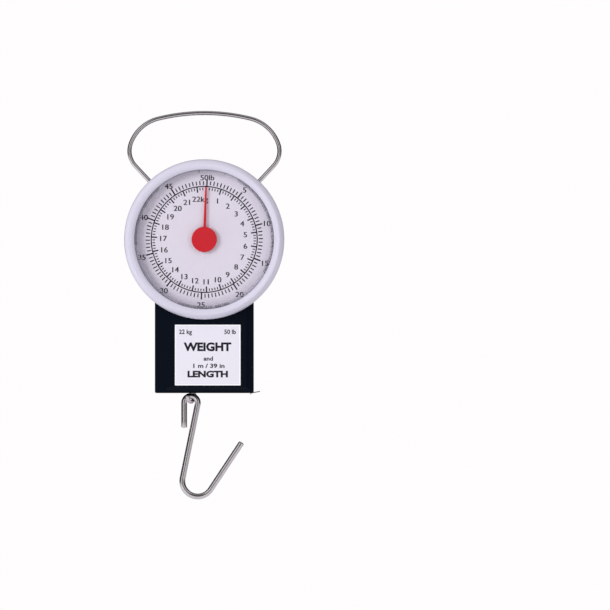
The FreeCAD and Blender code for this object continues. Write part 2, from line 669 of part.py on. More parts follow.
def frame_plate():
    """Steel plate that carries the handle, the spring anchor and the pointer shaft."""
    sheet = disc(PLATE_R, PLATE_Y, PLATE_REAR)
    sheet = sheet.common(block(-PLATE_HALF_WIDTH, PLATE_HALF_WIDTH, PLATE_Y, PLATE_REAR,
                               -PLATE_BOTTOM, TAB_UNDER))
    tab_end = BACK_IN - TAB_TO_BACK
    tab = block(ROD_X - TAB_HALF_WIDTH, ROD_X + TAB_HALF_WIDTH, PLATE_Y, tab_end, TAB_UNDER, PLATE_TOP)
    notches = [disc(BOSS_R + BOSS_GAP, PLATE_Y - PAST, PLATE_REAR + PAST, x, z) for x, z in case_screw_places()]
    body = sheet.fuse(tab).cut(notches)
    foot_r, screw_r = HANDLE_WIRE_R + RUNNING_GAP, PLATE_SCREW_R + PLATE_SCREW_PLAY
    holes = [disc(foot_r, PLATE_Y - PAST, PLATE_REAR + PAST, x, z) for x, z in foot_places()]
    holes += [disc(screw_r, PLATE_Y - PAST, PLATE_REAR + PAST, x, z) for x, z in PLATE_POSTS]
    holes += [disc(STUD_R, PLATE_Y - PAST, PLATE_REAR + PAST, x, z) for x, z in bridge_places()]
    holes += [disc(GUIDE_PEG_R, PLATE_Y - PAST, PLATE_REAR + PAST, x, z) for x, z in guide_pegs()]
    holes += [disc(BUSH_R, PLATE_Y - PAST, PLATE_REAR + PAST)]
    holes += [post(ANCHOR_R + ANCHOR_GAP, TAB_UNDER - PAST, PLATE_TOP + PAST, ROD_X, 0)]
    return body.cut(holes).removeSplitter()


def frame_screws():
    """Three screws that hold the frame plate to the back of the case."""
    tip = PLATE_REAR + PLATE_SCREW_BITE
    return Part.makeCompound([
        screw(x, z, PLATE_Y, tip, PLATE_SCREW_R, PLATE_SCREW_HEAD_R, PLATE_SCREW_HEAD_T)
        for x, z in PLATE_POSTS
    ])


def bridge_posts():
    """Two posts riveted through the frame plate."""
    posts = []
    for x, z in bridge_places():
        solid = fuse([
            disc(BRIDGE_POST_R, BRIDGE_REAR, PLATE_Y, x, z),
            disc(STUD_R, PLATE_Y, PLATE_REAR, x, z),
            disc(BRIDGE_POST_R, PLATE_REAR, PLATE_REAR + STUD_HEAD_T, x, z),
        ])
        posts.append(solid.cut(disc(BRIDGE_SCREW_R, BRIDGE_REAR - PAST, PLATE_Y - BRIDGE_BORE_END, x, z)))
    return Part.makeCompound(posts)


def bearing_bridge():
    """Strip across the two posts that carries the front bush."""
    x, z = BRIDGE_POST
    span, angle = math.hypot(x, z), math.degrees(math.atan2(z, x))
    strip = block(-span, span, BRIDGE_FRONT, BRIDGE_REAR, -BRIDGE_HALF_WIDTH, BRIDGE_HALF_WIDTH)
    strip.rotate(V(0, 0, 0), Y_AXIS, -angle)
    ends = [disc(BRIDGE_HALF_WIDTH, BRIDGE_FRONT, BRIDGE_REAR, px, pz) for px, pz in bridge_places()]
    body = strip.fuse(ends)
    holes = [disc(BUSH_R, BRIDGE_FRONT - PAST, BRIDGE_REAR + PAST)]
    holes += [disc(BRIDGE_SCREW_R + BRIDGE_HOLE_PLAY, BRIDGE_FRONT - PAST, BRIDGE_REAR + PAST, px, pz)
              for px, pz in bridge_places()]
    return body.cut(holes).removeSplitter()


def bridge_screws():
    """Two small screws that hold the bridge to its posts."""
    tip = PLATE_Y - BRIDGE_SCREW_TIP
    return Part.makeCompound([
        screw(x, z, BRIDGE_FRONT, tip, BRIDGE_SCREW_R, BRIDGE_SCREW_HEAD_R, BRIDGE_SCREW_HEAD_T)
        for x, z in bridge_places()
    ])


def pinion_bushes():
    """Brass bushes in the plate and in the bridge."""
    bore = SHAFT_R + RUNNING_GAP
    rear = ring(BUSH_R, bore, PLATE_Y - BUSH_PROUD, PLATE_REAR + BUSH_PROUD)
    front = ring(BUSH_R, bore, BRIDGE_FRONT - BUSH_PROUD, BRIDGE_REAR + BUSH_PROUD)
    return Part.makeCompound([rear, front])


def guide_pegs():
    """Centres of the two pegs of the rack guide."""
    x = RACK_BACK_X + SEAT_GAP + GUIDE_WIDTH / 2
    return [(x, -GUIDE_HEIGHT / 4), (x, GUIDE_HEIGHT / 4)]


def rack_guide():
    """Block that keeps the rack in mesh, pegged into the frame plate."""
    left = RACK_BACK_X + SEAT_GAP
    half = GUIDE_HEIGHT / 2
    body = block(left, left + GUIDE_WIDTH, RACK_FRONT, PLATE_Y, -half, half)
    pegs = [disc(GUIDE_PEG_R, PLATE_Y, PLATE_REAR, x, z) for x, z in guide_pegs()]
    return fuse([body] + pegs)


# ---- Zero adjuster, anchor and main spring ------------------------------------------------------

def zero_wheel():
    """Fluted nut on the anchor that sets the pointer to zero."""
    wheel = post(WHEEL_R, WHEEL_Z, WHEEL_Z + WHEEL_H, ROD_X, 0)
    flutes = []
    for i in range(WHEEL_FLUTES):
        a = 2 * math.pi * i / WHEEL_FLUTES
        x, y = ROD_X + WHEEL_R * math.cos(a), WHEEL_R * math.sin(a)
        flutes.append(post(FLUTE_R, WHEEL_Z - PAST, WHEEL_Z + WHEEL_H + PAST, x, y))
    bore = post(ANCHOR_R + RUNNING_GAP, WHEEL_Z - PAST, WHEEL_Z + WHEEL_H + PAST, ROD_X, 0)
    return wheel.cut(flutes + [bore])


def spring_anchor():
    """Threaded rod with a flat eye that the main spring hangs on."""
    top = WHEEL_Z + WHEEL_H + ANCHOR_ABOVE_WHEEL
    rod = post(ANCHOR_R, ANCHOR_EYE_Z + ANCHOR_HOLE_R + ANCHOR_ROOT, top, ROD_X, 0)
    plate = Part.makeCylinder(ANCHOR_EYE_R, ANCHOR_EYE_T, V(ROD_X - ANCHOR_EYE_T / 2, 0, ANCHOR_EYE_Z), X_AXIS)
    hole = Part.makeCylinder(ANCHOR_HOLE_R, 2 * ANCHOR_EYE_T, V(ROD_X - ANCHOR_EYE_T, 0, ANCHOR_EYE_Z), X_AXIS)
    return rod.fuse(plate).cut(hole).removeSplitter()


def spring_hook(centre_z, sign):
    """Half ring with its stems at one end of the main spring; sign is 1 at the top, -1 at the bottom."""
    start = V(ROD_X - SPRING_MEAN_R, sign * ELBOW_BACK, centre_z - sign * SPRING_STEM)
    steps = [(SPRING_STEM,), (SPRING_MEAN_R, 180.0, Y_AXIS * sign), (SPRING_STEM / 2,)]
    edges = trace(start, Z_AXIS * sign, steps)[0]
    elbow = Part.makeSphere(ELBOW_R, start)
    return wire_rod(edges, start, Z_AXIS, SPRING_WIRE_R).fuse(elbow)


def main_spring():
    """Extension spring: open coils with a half hook at each end."""
    low, high = LOW_LOOP_Z + SPRING_STEM, TOP_LOOP_Z - SPRING_STEM
    turns = math.floor((high - low) / (2 * SPRING_WIRE_R + SPRING_COIL_GAP))
    pitch = (high - low) / turns
    helix = Part.makeHelix(pitch, high - low, SPRING_MEAN_R)
    helix.rotate(V(0, 0, 0), Z_AXIS, 180.0)
    helix.translate(V(ROD_X, 0, low))
    start = V(ROD_X - SPRING_MEAN_R, 0, low)
    along = V(0, -2 * math.pi * SPRING_MEAN_R, pitch)
    section = Part.Wire([Part.Circle(start, along, SPRING_WIRE_R).toShape()])
    coils = Part.Wire(helix.Edges).makePipeShell([section], True, True)
    return coils.multiFuse([spring_hook(LOW_LOOP_Z, -1), spring_hook(TOP_LOOP_Z, 1)])


# ---- Carriage and rack --------------------------------------------------------------------------

def carriage():
    """Folded steel bracket: shelf, two ears for the spring pin and a lug for the rack."""
    ear_low = SHELF_TOP - SHELF_T
    ear_top = -SPRING_PIN_DROP + SPRING_PIN_R + EAR_ABOVE_PIN
    half_gap = EAR_GAP / 2
    right = RACK_BACK_X + SHELF_RIGHT
    shelf = block(ROD_X - SHELF_LEFT, right, RACK_REAR, half_gap + EAR_T, ear_low, SHELF_TOP)
    ears = []
    for y0 in (half_gap, -half_gap - EAR_T):
        ears.append(block(ROD_X - EAR_WIDTH / 2, ROD_X + EAR_WIDTH / 2, y0, y0 + EAR_T, ear_low, ear_top))
    lug_left = right - LUG_WIDTH
    lug = block(lug_left, right, RACK_REAR, LUG_REAR, ear_low, SHELF_TOP + LUG_HEIGHT)
    body = fuse([shelf, lug] + ears)
    ear_end = half_gap + EAR_T + PAST
    pin_hole = disc(SPRING_PIN_R, -ear_end, ear_end, ROD_X, -SPRING_PIN_DROP)
    rod_clear = post(ROD_R + ROD_GAP, ear_low - PAST, SHELF_TOP + PAST, ROD_X, 0)
    rivets = [disc(RIVET_R, RACK_REAR - PAST, LUG_REAR + PAST, x, z) for x, z in rivet_places()]
    return body.cut([pin_hole, rod_clear] + rivets).removeSplitter()


def spring_pin():
    """Pin across the ears that the main spring pulls on."""
    half = EAR_GAP / 2 + EAR_T
    return disc(SPRING_PIN_R, -half, half, ROD_X, -SPRING_PIN_DROP)


def rack():
    """Toothed strip riveted to the carriage, to the right of the pinion."""
    low = SHELF_TOP + RACK_SEAT_GAP
    tooth_low, tooth_high = -RACK_MARGIN, RACK_TRAVEL + RACK_MARGIN
    root, tip = PITCH_R + RACK_ROOT * GEAR_MODULE, PITCH_R - RACK_TIP * GEAR_MODULE
    strip = block(root, RACK_BACK_X, RACK_FRONT, RACK_REAR, low, tooth_high + RACK_PLAIN)
    pitch = math.pi * GEAR_MODULE
    lean = math.tan(math.radians(PRESSURE_ANGLE))
    count = int((tooth_high - tooth_low) / pitch)
    teeth = []
    for i in range(count):
        z = (i + 0.5 + math.floor(tooth_low / pitch)) * pitch
        half_tip = pitch / 4 - BACKLASH / 2 - (PITCH_R - tip) * lean
        half_root = pitch / 4 - BACKLASH / 2 + (root - PITCH_R) * lean
        corners = [V(root + INTO / 2, RACK_FRONT, z - half_root), V(root, RACK_FRONT, z - half_root),
                   V(tip, RACK_FRONT, z - half_tip), V(tip, RACK_FRONT, z + half_tip),
                   V(root, RACK_FRONT, z + half_root), V(root + INTO / 2, RACK_FRONT, z + half_root)]
        face = Part.Face(Part.makePolygon(corners + corners[:1]))
        teeth.append(face.extrude(V(0, RACK_T, 0)))
    body = fuse([strip] + teeth)
    return body.cut([disc(RIVET_R, RACK_FRONT - PAST, RACK_REAR + PAST, x, z) for x, z in rivet_places()])


def rack_rivets():
    """Two rivets through the rack and the carriage lug."""
    rivets = []
    for x, z in rivet_places():
        rivets.append(fuse([
            disc(RIVET_R, RACK_FRONT, LUG_REAR, x, z),
            disc(RIVET_HEAD_R, RACK_FRONT - RIVET_HEAD_T, RACK_FRONT, x, z),
            disc(RIVET_HEAD_R, LUG_REAR, LUG_REAR + RIVET_HEAD_T, x, z),
        ]))
    return Part.makeCompound(rivets)


# ---- Pinion, shaft and pointer ------------------------------------------------------------------

def pinion():
    """Eight-tooth involute pinion pressed on the pointer shaft."""
    teeth, module = PINION_TEETH, GEAR_MODULE
    base = PITCH_R * math.cos(math.radians(PRESSURE_ANGLE))
    tip, root = PITCH_R + PINION_TIP * module, PITCH_R - PINION_ROOT * module
    def involute(r):
        a = math.acos(min(1.0, base / r))
        return math.tan(a) - a
    half_pitch_angle = math.pi / (2 * teeth) - BACKLASH / (4 * PITCH_R)
    flank_r = [base, (base + PITCH_R) / 2, PITCH_R, (PITCH_R + tip) / 2, tip]
    outline = []
    for i in range(teeth):
        middle = 2 * math.pi * i / teeth + math.pi / 2
        halves = [half_pitch_angle + involute(PITCH_R) - involute(r) for r in flank_r]
        low = [(root, -halves[0])] + [(r, -h) for r, h in zip(flank_r, halves)]
        high = [(r, h) for r, h in zip(reversed(flank_r), reversed(halves))] + [(root, halves[0])]
        for r, a in low + high:
            outline.append(V(r * math.sin(middle + a), GEAR_FRONT, r * math.cos(middle + a)))
    face = Part.Face(Part.makePolygon(outline + outline[:1]))
    return face.extrude(V(0, GEAR_WIDTH, 0)).cut(disc(SHAFT_R, GEAR_FRONT - PAST, GEAR_REAR + PAST))


def pinion_shaft():
    """Shaft through both bushes to the pointer."""
    return disc(SHAFT_R, SHAFT_TIP, PLATE_REAR + SHAFT_REAR)


def pointer():
    """Red pointer: flat hub, boss on the shaft and a tapered needle."""
    needle_front = NEEDLE_REAR - POINTER_T
    hub = disc(POINTER_HUB_R, needle_front - POINTER_HUB_T, needle_front + POINTER_HUB_SINK)
    front_edge = [e for e in hub.Edges if abs(e.CenterOfMass.y - needle_front + POINTER_HUB_T) < NEAR]
    hub = hub.makeFillet(POINTER_HUB_EDGE, front_edge)
    boss = disc(POINTER_BOSS_R, needle_front, needle_front + POINTER_BOSS_T)
    half_base, half_tip = POINTER_BASE_WIDTH / 2, POINTER_TIP_WIDTH / 2
    corners = [V(-half_base, needle_front, 0), V(-half_tip, needle_front, POINTER_REACH),
               V(half_tip, needle_front, POINTER_REACH), V(half_base, needle_front, 0)]
    needle = Part.Face(Part.makePolygon(corners + corners[:1])).extrude(V(0, POINTER_T, 0))
    needle.rotate(V(0, 0, 0), Y_AXIS, POINTER_ANGLE)
    body = fuse([hub, boss, needle])
    return body.cut(disc(SHAFT_R, SHAFT_TIP, needle_front + POINTER_BOSS_T + PAST))


# ---- Load rod and hook --------------------------------------------------------------------------

def load_rod():
    """Rod from the carriage with an eye bent at its lower end, turned to face the hook."""
    top = SHELF_TOP + SEAT_GAP + COLLAR_H
    reach = EYE_R + EYE_NECK_R
    drop = math.sqrt(reach ** 2 - EYE_NECK_R ** 2)
    neck_turn = math.degrees(math.atan2(drop, EYE_NECK_R))
    start = V(ROD_X, 0, top)
    length = top - (EYE_Z + drop)
    steps = [(length,), (EYE_NECK_R, neck_turn, X_AXIS), (EYE_R, EYE_WRAP, -X_AXIS)]
    edges, end, heading = trace(start, -Z_AXIS, steps)
    solid = fuse([wire_rod(edges, start, -Z_AXIS, ROD_R), dome(end, heading, ROD_R)])
    solid.rotate(V(ROD_X, 0, 0), Z_AXIS, -EYE_TURN)
    return solid


def rod_collar():
    """Collar pressed on the rod; it rests on the carriage shelf, so that the rod can turn."""
    low = SHELF_TOP + SEAT_GAP
    high = low + COLLAR_H
    return post(COLLAR_R, low, high, ROD_X, 0).cut(post(ROD_R, low - PAST, high + PAST, ROD_X, 0))


def hook():
    """Open hook of one wire, flat in the XZ plane."""
    start = V(ROD_X - HOOK_TOP_R, 0, HOOK_TOP_Z - HOOK_TAIL)
    steps = [
        (HOOK_TAIL,), (HOOK_TOP_R, HOOK_TOP_TURN, Y_AXIS), (HOOK_SHANK,),
        (HOOK_BEND_R, HOOK_BEND_TURN, -Y_AXIS), (HOOK_TIP,),
    ]
    edges, end, heading = trace(start, Z_AXIS, steps)
    wire = wire_rod(edges, start, Z_AXIS, HOOK_WIRE_R)
    return fuse([wire, dome(start, -Z_AXIS, HOOK_WIRE_R), dome(end, heading, HOOK_WIRE_R)])


# ---- Tape measure -------------------------------------------------------------------------------

def tape_axle():
    """Fixed axle between the two halves of the case."""
    return disc(AXLE_R, BEZEL_SEAT + WALL, BACK_IN, REEL_X, REEL_Z)


def drum_clip():
    """Spring clip that keeps the drum on its axle."""
    rear = DRUM_REAR + DRUM_BACK_T + DRUM_PLAY
    return ring(CLIP_R, AXLE_R, rear, rear + CLIP_T, REEL_X, REEL_Z)


def tape_drum():
    """Cup that the tape is wound on and that holds the power spring."""
    wall = ring(DRUM_R, DRUM_R - DRUM_WALL, -TAPE_FRONT, DRUM_REAR, REEL_X, REEL_Z)
    back = ring(DRUM_R, AXLE_R + RUNNING_GAP, DRUM_REAR, DRUM_REAR + DRUM_BACK_T, REEL_X, REEL_Z)
    return fuse([wall, back])


def power_spring():
    """Spiral spring inside the drum that winds the tape back in."""
    r_in, r_out = AXLE_R + POWER_TO_AXLE, DRUM_R - DRUM_WALL - POWER_TO_WALL
    pitch = (r_out - r_in - POWER_T) / POWER_TURNS
    front, rear = -TAPE_FRONT + POWER_INSET, TAPE_REAR - POWER_INSET
    return spiral_band(r_in, POWER_TURNS, pitch, POWER_T, REEL_X, REEL_Z, front, rear)


def tape_coil():
    """The wound tape."""
    return ring(COIL_R, DRUM_R, -TAPE_FRONT, TAPE_REAR, REEL_X, REEL_Z)


def tape_blade():
    """Straight end of the tape, from the coil to the mouth."""
    body = block(REEL_X, BOX_IN, -TAPE_FRONT, TAPE_REAR, BLADE_TOP - TAPE_T, BLADE_TOP)
    return body.cut([post(RIVET_R, BLADE_TOP - PAST, BLADE_TOP + PAST, x, y) for x, y in tape_rivet_places()])


def tape_rivet_places():
    """X and Y of the two rivets of the end tab."""
    x = BOX_IN - TAB_GRIP / 2
    middle = (TAPE_REAR - TAPE_FRONT) / 2
    return [(x, middle - TAPE_WIDTH / 4), (x, middle + TAPE_WIDTH / 4)]


def tape_end_tab():
    """Folded metal end: grips the tape, turns down as a stop and sticks out as a tongue."""
    left, fold = BOX_IN - TAB_GRIP, BOX_IN
    top, tip_x = BLADE_TOP + TAB_T, BOX_HALF_WIDTH + TAB_REACH
    lip = top - TAB_LIP
    tongue_low = lip + TAB_TONGUE
    outline = [
        (left, BLADE_TOP), (fold, BLADE_TOP), (fold, lip), (fold + TAB_T, lip),
        (fold + TAB_T, tongue_low), (tip_x, tongue_low + TAB_CLIMB),
        (tip_x, tongue_low + TAB_CLIMB + TAB_T), (fold + TAB_T, tongue_low + TAB_T),
        (fold + TAB_T, top), (left, top),
    ]
    corners = [V(x, -TAPE_FRONT, z) for x, z in outline]
    body = Part.Face(Part.makePolygon(corners + corners[:1])).extrude(V(0, TAPE_WIDTH, 0))
    return body.cut([post(RIVET_R, BLADE_TOP - PAST, top + PAST, x, y) for x, y in tape_rivet_places()])


def tape_rivets():
    """Two rivets through the tab and the tape."""
    rivets = []
    for x, y in tape_rivet_places():
        top = BLADE_TOP + TAB_T
        rivets.append(fuse([
            post(RIVET_R, BLADE_TOP - TAPE_T, top, x, y), post(RIVET_HEAD_R, top, top + RIVET_HEAD_T, x, y),
        ]))
    return Part.makeCompound(rivets)


# ---- Nodes --------------------------------------------------------------------------------------

NODES = {
    "front_case": front_case, "rear_case": rear_case, "case_screws": case_screws,
    "bezel_ring": bezel_ring, "lens": lens, "dial_plate": dial_plate, "label": label,
    "handle": handle, "handle_washers": handle_washers,
    "frame_plate": frame_plate, "frame_screws": frame_screws, "bridge_posts": bridge_posts,
    "bearing_bridge": bearing_bridge, "bridge_screws": bridge_screws,
    "pinion_bushes": pinion_bushes, "rack_guide": rack_guide,
    "zero_wheel": zero_wheel, "spring_anchor": spring_anchor, "main_spring": main_spring,
    "carriage": carriage, "spring_pin": spring_pin, "rack": rack, "rack_rivets": rack_rivets,
    "pinion": pinion, "pinion_shaft": pinion_shaft, "pointer": pointer,
    "load_rod": load_rod, "rod_collar": rod_collar, "hook": hook,
    "tape_axle": tape_axle, "drum_clip": drum_clip, "tape_drum": tape_drum,
    "power_spring": power_spring, "tape_coil": tape_coil,
    "tape_blade": tape_blade, "tape_end_tab": tape_end_tab, "tape_rivets": tape_rivets,
}

os.makedirs("parts", exist_ok=True)
for node_name, build in NODES.items():
    save(node_name, build())
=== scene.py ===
# Looks of the hanging spring scale: smooth wires, ring, lens, printing, tape and finishes round the packed
# frame. Lengths are in millimetres from the middle of the dial, with X to the right, Y to the back and Z up,
# until a piece is made.
import json
import logging
from dataclasses import dataclass, field
from enum import Enum
from typing import Any, Sequence

import bmesh
import bpy
import numpy as np
from mathutils import Matrix, Vector


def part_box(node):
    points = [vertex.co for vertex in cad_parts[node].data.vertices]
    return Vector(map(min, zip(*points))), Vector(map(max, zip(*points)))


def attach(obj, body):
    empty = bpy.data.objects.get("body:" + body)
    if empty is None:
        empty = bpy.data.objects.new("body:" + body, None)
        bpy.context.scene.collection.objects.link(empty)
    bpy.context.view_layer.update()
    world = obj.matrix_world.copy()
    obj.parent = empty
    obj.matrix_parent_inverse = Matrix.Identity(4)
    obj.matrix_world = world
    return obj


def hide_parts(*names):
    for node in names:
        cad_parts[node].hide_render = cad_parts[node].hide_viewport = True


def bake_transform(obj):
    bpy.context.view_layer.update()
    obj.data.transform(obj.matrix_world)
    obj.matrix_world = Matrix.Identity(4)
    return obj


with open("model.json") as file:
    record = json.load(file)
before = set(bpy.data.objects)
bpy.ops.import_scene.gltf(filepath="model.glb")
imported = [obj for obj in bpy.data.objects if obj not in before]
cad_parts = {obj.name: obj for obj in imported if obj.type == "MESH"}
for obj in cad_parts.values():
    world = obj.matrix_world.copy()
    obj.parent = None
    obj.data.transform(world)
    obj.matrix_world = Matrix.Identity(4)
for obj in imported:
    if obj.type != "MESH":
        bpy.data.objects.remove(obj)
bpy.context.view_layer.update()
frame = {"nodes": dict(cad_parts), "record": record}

MM = 0.001
LOG = logging.getLogger("scale")
X, Y, Z = np.eye(3)
SIZE_OF_CAPITALS = 1.38  # type size that gives capitals a height of 1
DOME = np.radians(np.linspace(12, 84, 6))  # where the rings of a wire's domed end stand
Array, Material, Object = np.ndarray, bpy.types.Material, bpy.types.Object
Colour = tuple[float, float, float]
TickKinds = tuple[tuple[float, float, float], ...]


def dial_middle() -> Array:
    """Middle of the dial plate in the row frame, in millimetres, on the parting plane."""
    low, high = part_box("dial_plate")
    return np.array([(low.x + high.x) / 2, 0.0, (low.z + high.z) / 2]) / MM


MIDDLE = dial_middle()


def node_box(node: str) -> tuple[Array, Array]:
    """Lowest and highest corner of a node, in millimetres from the middle of the dial.

    Args:
        node: name of the CAD node.

    Returns:
        Two arrays of three numbers.
    """
    low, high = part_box(node)
    return np.array(low) / MM - MIDDLE, np.array(high) / MM - MIDDLE


# ---- Shader nodes ----

class Num:
    """A number in a node tree. Its operators add Math nodes."""

    def __init__(self, nodes: "NodeTree", value: Any) -> None:
        """Wraps a socket, or a plain number, of the given tree."""
        self.nodes, self.value = nodes, value

    def math(self, operation: str, *others: Any) -> "Num":
        """Adds one Math node.

        Args:
            operation: Blender's name of the operation.
            others: the second and third numbers, as Num or plain numbers.

        Returns:
            The result.
        """
        values = [self.value] + [o.value if isinstance(o, Num) else o for o in others]
        node = self.nodes.node("Math", {"operation": operation}, dict(enumerate(values)))
        return Num(self.nodes, node.outputs[0])

    def __add__(self, other: Any) -> "Num":
        """Sum."""
        return self.math("ADD", other)

    __radd__ = __add__

    def __sub__(self, other: Any) -> "Num":
        """Difference."""
        return self.math("SUBTRACT", other)

    def __rsub__(self, other: Any) -> "Num":
        """Difference the other way round."""
        return Num(self.nodes, other).math("SUBTRACT", self)

    def __mul__(self, other: Any) -> "Num":
        """Product."""
        return self.math("MULTIPLY", other)

    __rmul__ = __mul__

    def __truediv__(self, other: Any) -> "Num":
        """Quotient."""
        return self.math("DIVIDE", other)

    def below(self, edge: Any, soft: float) -> "Num":
        """1 where this is below edge, 0 where it is above, with a soft step of that width."""
        return ((edge - self) / soft + 0.5).math("MINIMUM", 1.0).math("MAXIMUM", 0.0)

    def above(self, edge: Any, soft: float) -> "Num":
        """1 where this is above edge, 0 where it is below, with a soft step of that width."""
        return ((self - edge) / soft + 0.5).math("MINIMUM", 1.0).math("MAXIMUM", 0.0)

    def band(self, middle: float, width: float, soft: float) -> "Num":
        """1 inside a band round middle, and 0 outside it."""
        return (self - middle).math("ABSOLUTE").below(width / 2, soft)


class NodeTree:
    """The nodes of a material or a world while they are being built."""

    def __init__(self, owner: Any) -> None:
        """Empties the tree of that material or world."""
        owner.use_nodes = True
        self.tree = owner.node_tree
        self.tree.nodes.clear()

    def node(self, kind: str, settings: dict | None = None, inputs: dict | None = None) -> bpy.types.Node:
        """Adds one node.

        Args:
            kind: the node's type, without the word ShaderNode.
            settings: its properties, which are set first.
            inputs: socket name or number to a value, a Num or a socket.

        Returns:
            The node.
        """
        node = self.tree.nodes.new(f"ShaderNode{kind}")
        for key, value in (settings or {}).items():
            setattr(node, key, value)
        for key, value in (inputs or {}).items():
            value = value.value if isinstance(value, Num) else value
            if isinstance(value, bpy.types.NodeSocket):
                self.tree.links.new(value, node.inputs[key])
            else:
                node.inputs[key].default_value = value
        return node

    def split(self, vector: Any) -> list[Num]:
        """The three numbers of a vector."""
        return [Num(self, s) for s in self.node("SeparateXYZ", {}, {0: vector}).outputs]


class Shader(NodeTree):
    """A material while it is being built."""

    def __init__(self, name: str) -> None:
        """Starts an empty material of that name."""
        self.material = bpy.data.materials.new(name)
        super().__init__(self.material)

    def place(self, shift: Sequence[float] = (0, 0, 0), stretch: Sequence[float] = (1, 1, 1)) -> Any:
        """Object coordinates in millimetres from the middle of the dial, moved and then stretched.

        Args:
            shift: taken off the place, in millimetres.
            stretch: factor along each axis.

        Returns:
            A vector socket.
        """
        scale = [s / MM for s in stretch]
        move = [-(m + d) * s for m, d, s in zip(MIDDLE, shift, stretch)]
        source = self.node("TexCoord").outputs["Object"]
        mapping = self.node("Mapping", {}, {"Vector": source, "Scale": scale, "Location": move})
        return mapping.outputs[0]

    def uv(self, stretch: Sequence[float]) -> Any:
        """The piece's own UV map, stretched: U runs along a wire in millimetres, V round it from 0 to 1."""
        source = self.node("UVMap", {"uv_map": "along"}).outputs[0]
        return self.node("Mapping", {}, {"Vector": source, "Scale": list(stretch)}).outputs[0]

    def noise(self, vector: Any, scale: float, detail: float = 3.0, rough: float = 0.5) -> Num:
        """Smooth noise about 0.5, with that many features to a millimetre."""
        inputs = {"Vector": vector, "Scale": scale, "Detail": detail, "Roughness": rough}
        return Num(self, self.node("TexNoise", {}, inputs).outputs[0])

    def mix(self, factor: Any, first: Any, second: Any) -> Any:
        """A colour from first to second as factor goes from 0 to 1."""
        first, second = ((*c, 1.0) if isinstance(c, tuple) else c for c in (first, second))
        settings = {"data_type": "RGBA", "clamp_factor": True}
        return self.node("Mix", settings, {0: factor, 6: first, 7: second}).outputs[2]

    def bump(self, height: Num, distance: float, strength: float = 1.0, normal: Any = None) -> Any:
        """A normal from a height between 0 and 1.

        Args:
            height: the height.
            distance: what 1 stands for, in millimetres.
            strength: how much of it counts.
            normal: another bump's normal, to add to.

        Returns:
            A normal socket.
        """
        inputs = {"Height": height, "Distance": distance * MM, "Strength": strength}
        if normal is not None:
            inputs["Normal"] = normal
        return self.node("Bump", {}, inputs).outputs[0]

    def from_middle(self, shift: Sequence[float] = (0, 0, 0)) -> Num:
        """Distance from the dial's axis, or from a point that far off it, in millimetres."""
        x, _, z = self.split(self.place(shift))
        return (x * x + z * z).math("SQRT")

    def surface(self, inputs: dict) -> bpy.types.Node:
        """A Principled shader with these inputs."""
        return self.node("BsdfPrincipled", {}, inputs)

    def close(self, shader: bpy.types.Node) -> Material:
        """Ends the material with that shader and returns it."""
        self.node("OutputMaterial", {}, {"Surface": shader.outputs[0]})
        return self.material

    def finish(self, colour: Any, roughness: Any, **others: Any) -> Material:
        """Ends the material with a Principled shader; in the others' names a low line stands for a space."""
        inputs = {key.replace("_", " "): value for key, value in others.items()}
        return self.close(self.surface({"Base Color": colour, "Roughness": roughness, **inputs}))


# ---- Finishes ----

@dataclass(frozen=True)
class MouldedPlastic:
    """Moulded plastic with spark-eroded grain, slow colour drift and faint rubbed spots."""
    name: str
    colour: Colour
    rubbed: Colour
    roughness: float = 0.42
    grain: float = 3.2
    depth: float = 0.02
    coat: float = 0.0
    coat_roughness: float = 0.12
    drift: float = 0.25
    shine: float = 0.5

    def make(self) -> Material:
        """Builds the material."""
        s = Shader(self.name)
        place = s.place()
        grain = s.noise(place, self.grain, 4.0, 0.6)
        cloud = s.noise(place, 0.06, 3.0)
        scuffs = s.noise(s.place((0, 0, 0), (0.25, 1.0, 1.0)), 1.3, 5.0, 0.7)
        worn = scuffs.above(0.66, 0.12) * cloud
        colour = s.mix(worn * self.drift + (cloud - 0.5) * self.drift * 0.5 + 0.1, self.colour, self.rubbed)
        rough = (grain - 0.5) * 0.16 + (cloud - 0.5) * 0.12 + self.roughness
        normal = s.bump(grain, self.depth, 1.0, s.bump(cloud, 0.25, 0.25))
        return s.finish(colour, rough, Normal=normal, Coat_Weight=self.coat,
                        Coat_Roughness=self.coat_roughness, Specular_IOR_Level=self.shine)


@dataclass(frozen=True)
class DrawnWire:
    """Bright plated wire: fine drawing lines along it, small pits and slightly cloudy plating."""
    name: str
    colour: Colour
    dull: Colour
    roughness: float = 0.13

    def make(self) -> Material:
        """Builds the material."""
        s = Shader(self.name)
        lines = s.noise(s.uv((0.05, 12.0, 1.0)), 2.2, 3.0, 0.6)
        cloud = s.noise(s.uv((0.16, 2.0, 1.0)), 1.0, 3.0, 0.55)
        pits = s.noise(s.uv((1.0, 9.0, 1.0)), 2.6, 2.0, 0.5).above(0.7, 0.06)
        colour = s.mix(cloud * 0.7 + pits * 0.3, self.colour, self.dull)
        rough = lines * 0.08 + cloud * 0.08 + pits * 0.15 + self.roughness
        normal = s.bump(cloud, 0.03, 0.25)
        return s.finish(colour, rough, Normal=normal, Metallic=1.0)


@dataclass(frozen=True)
class SheetMetal:
    """Zinc-plated or bare metal: mottled plating, rolling lines and soft scratches."""
    name: str
    colour: Colour
    dull: Colour
    roughness: float = 0.3
    lines: Sequence[float] = (0.2, 3.0, 3.0)

    def make(self) -> Material:
        """Builds the material."""
        s = Shader(self.name)
        mottle = s.noise(s.place(), 0.55, 4.0, 0.6)
        rolled = s.noise(s.place((0, 0, 0), self.lines), 2.0, 3.0, 0.6)
        colour = s.mix(mottle.above(0.5, 0.5), self.colour, self.dull)
        rough = self.roughness + (mottle - 0.5) * 0.3 + (rolled - 0.5) * 0.15
        normal = s.bump(rolled, 0.02, 0.7)
        return s.finish(colour, rough, Normal=normal, Metallic=1.0)


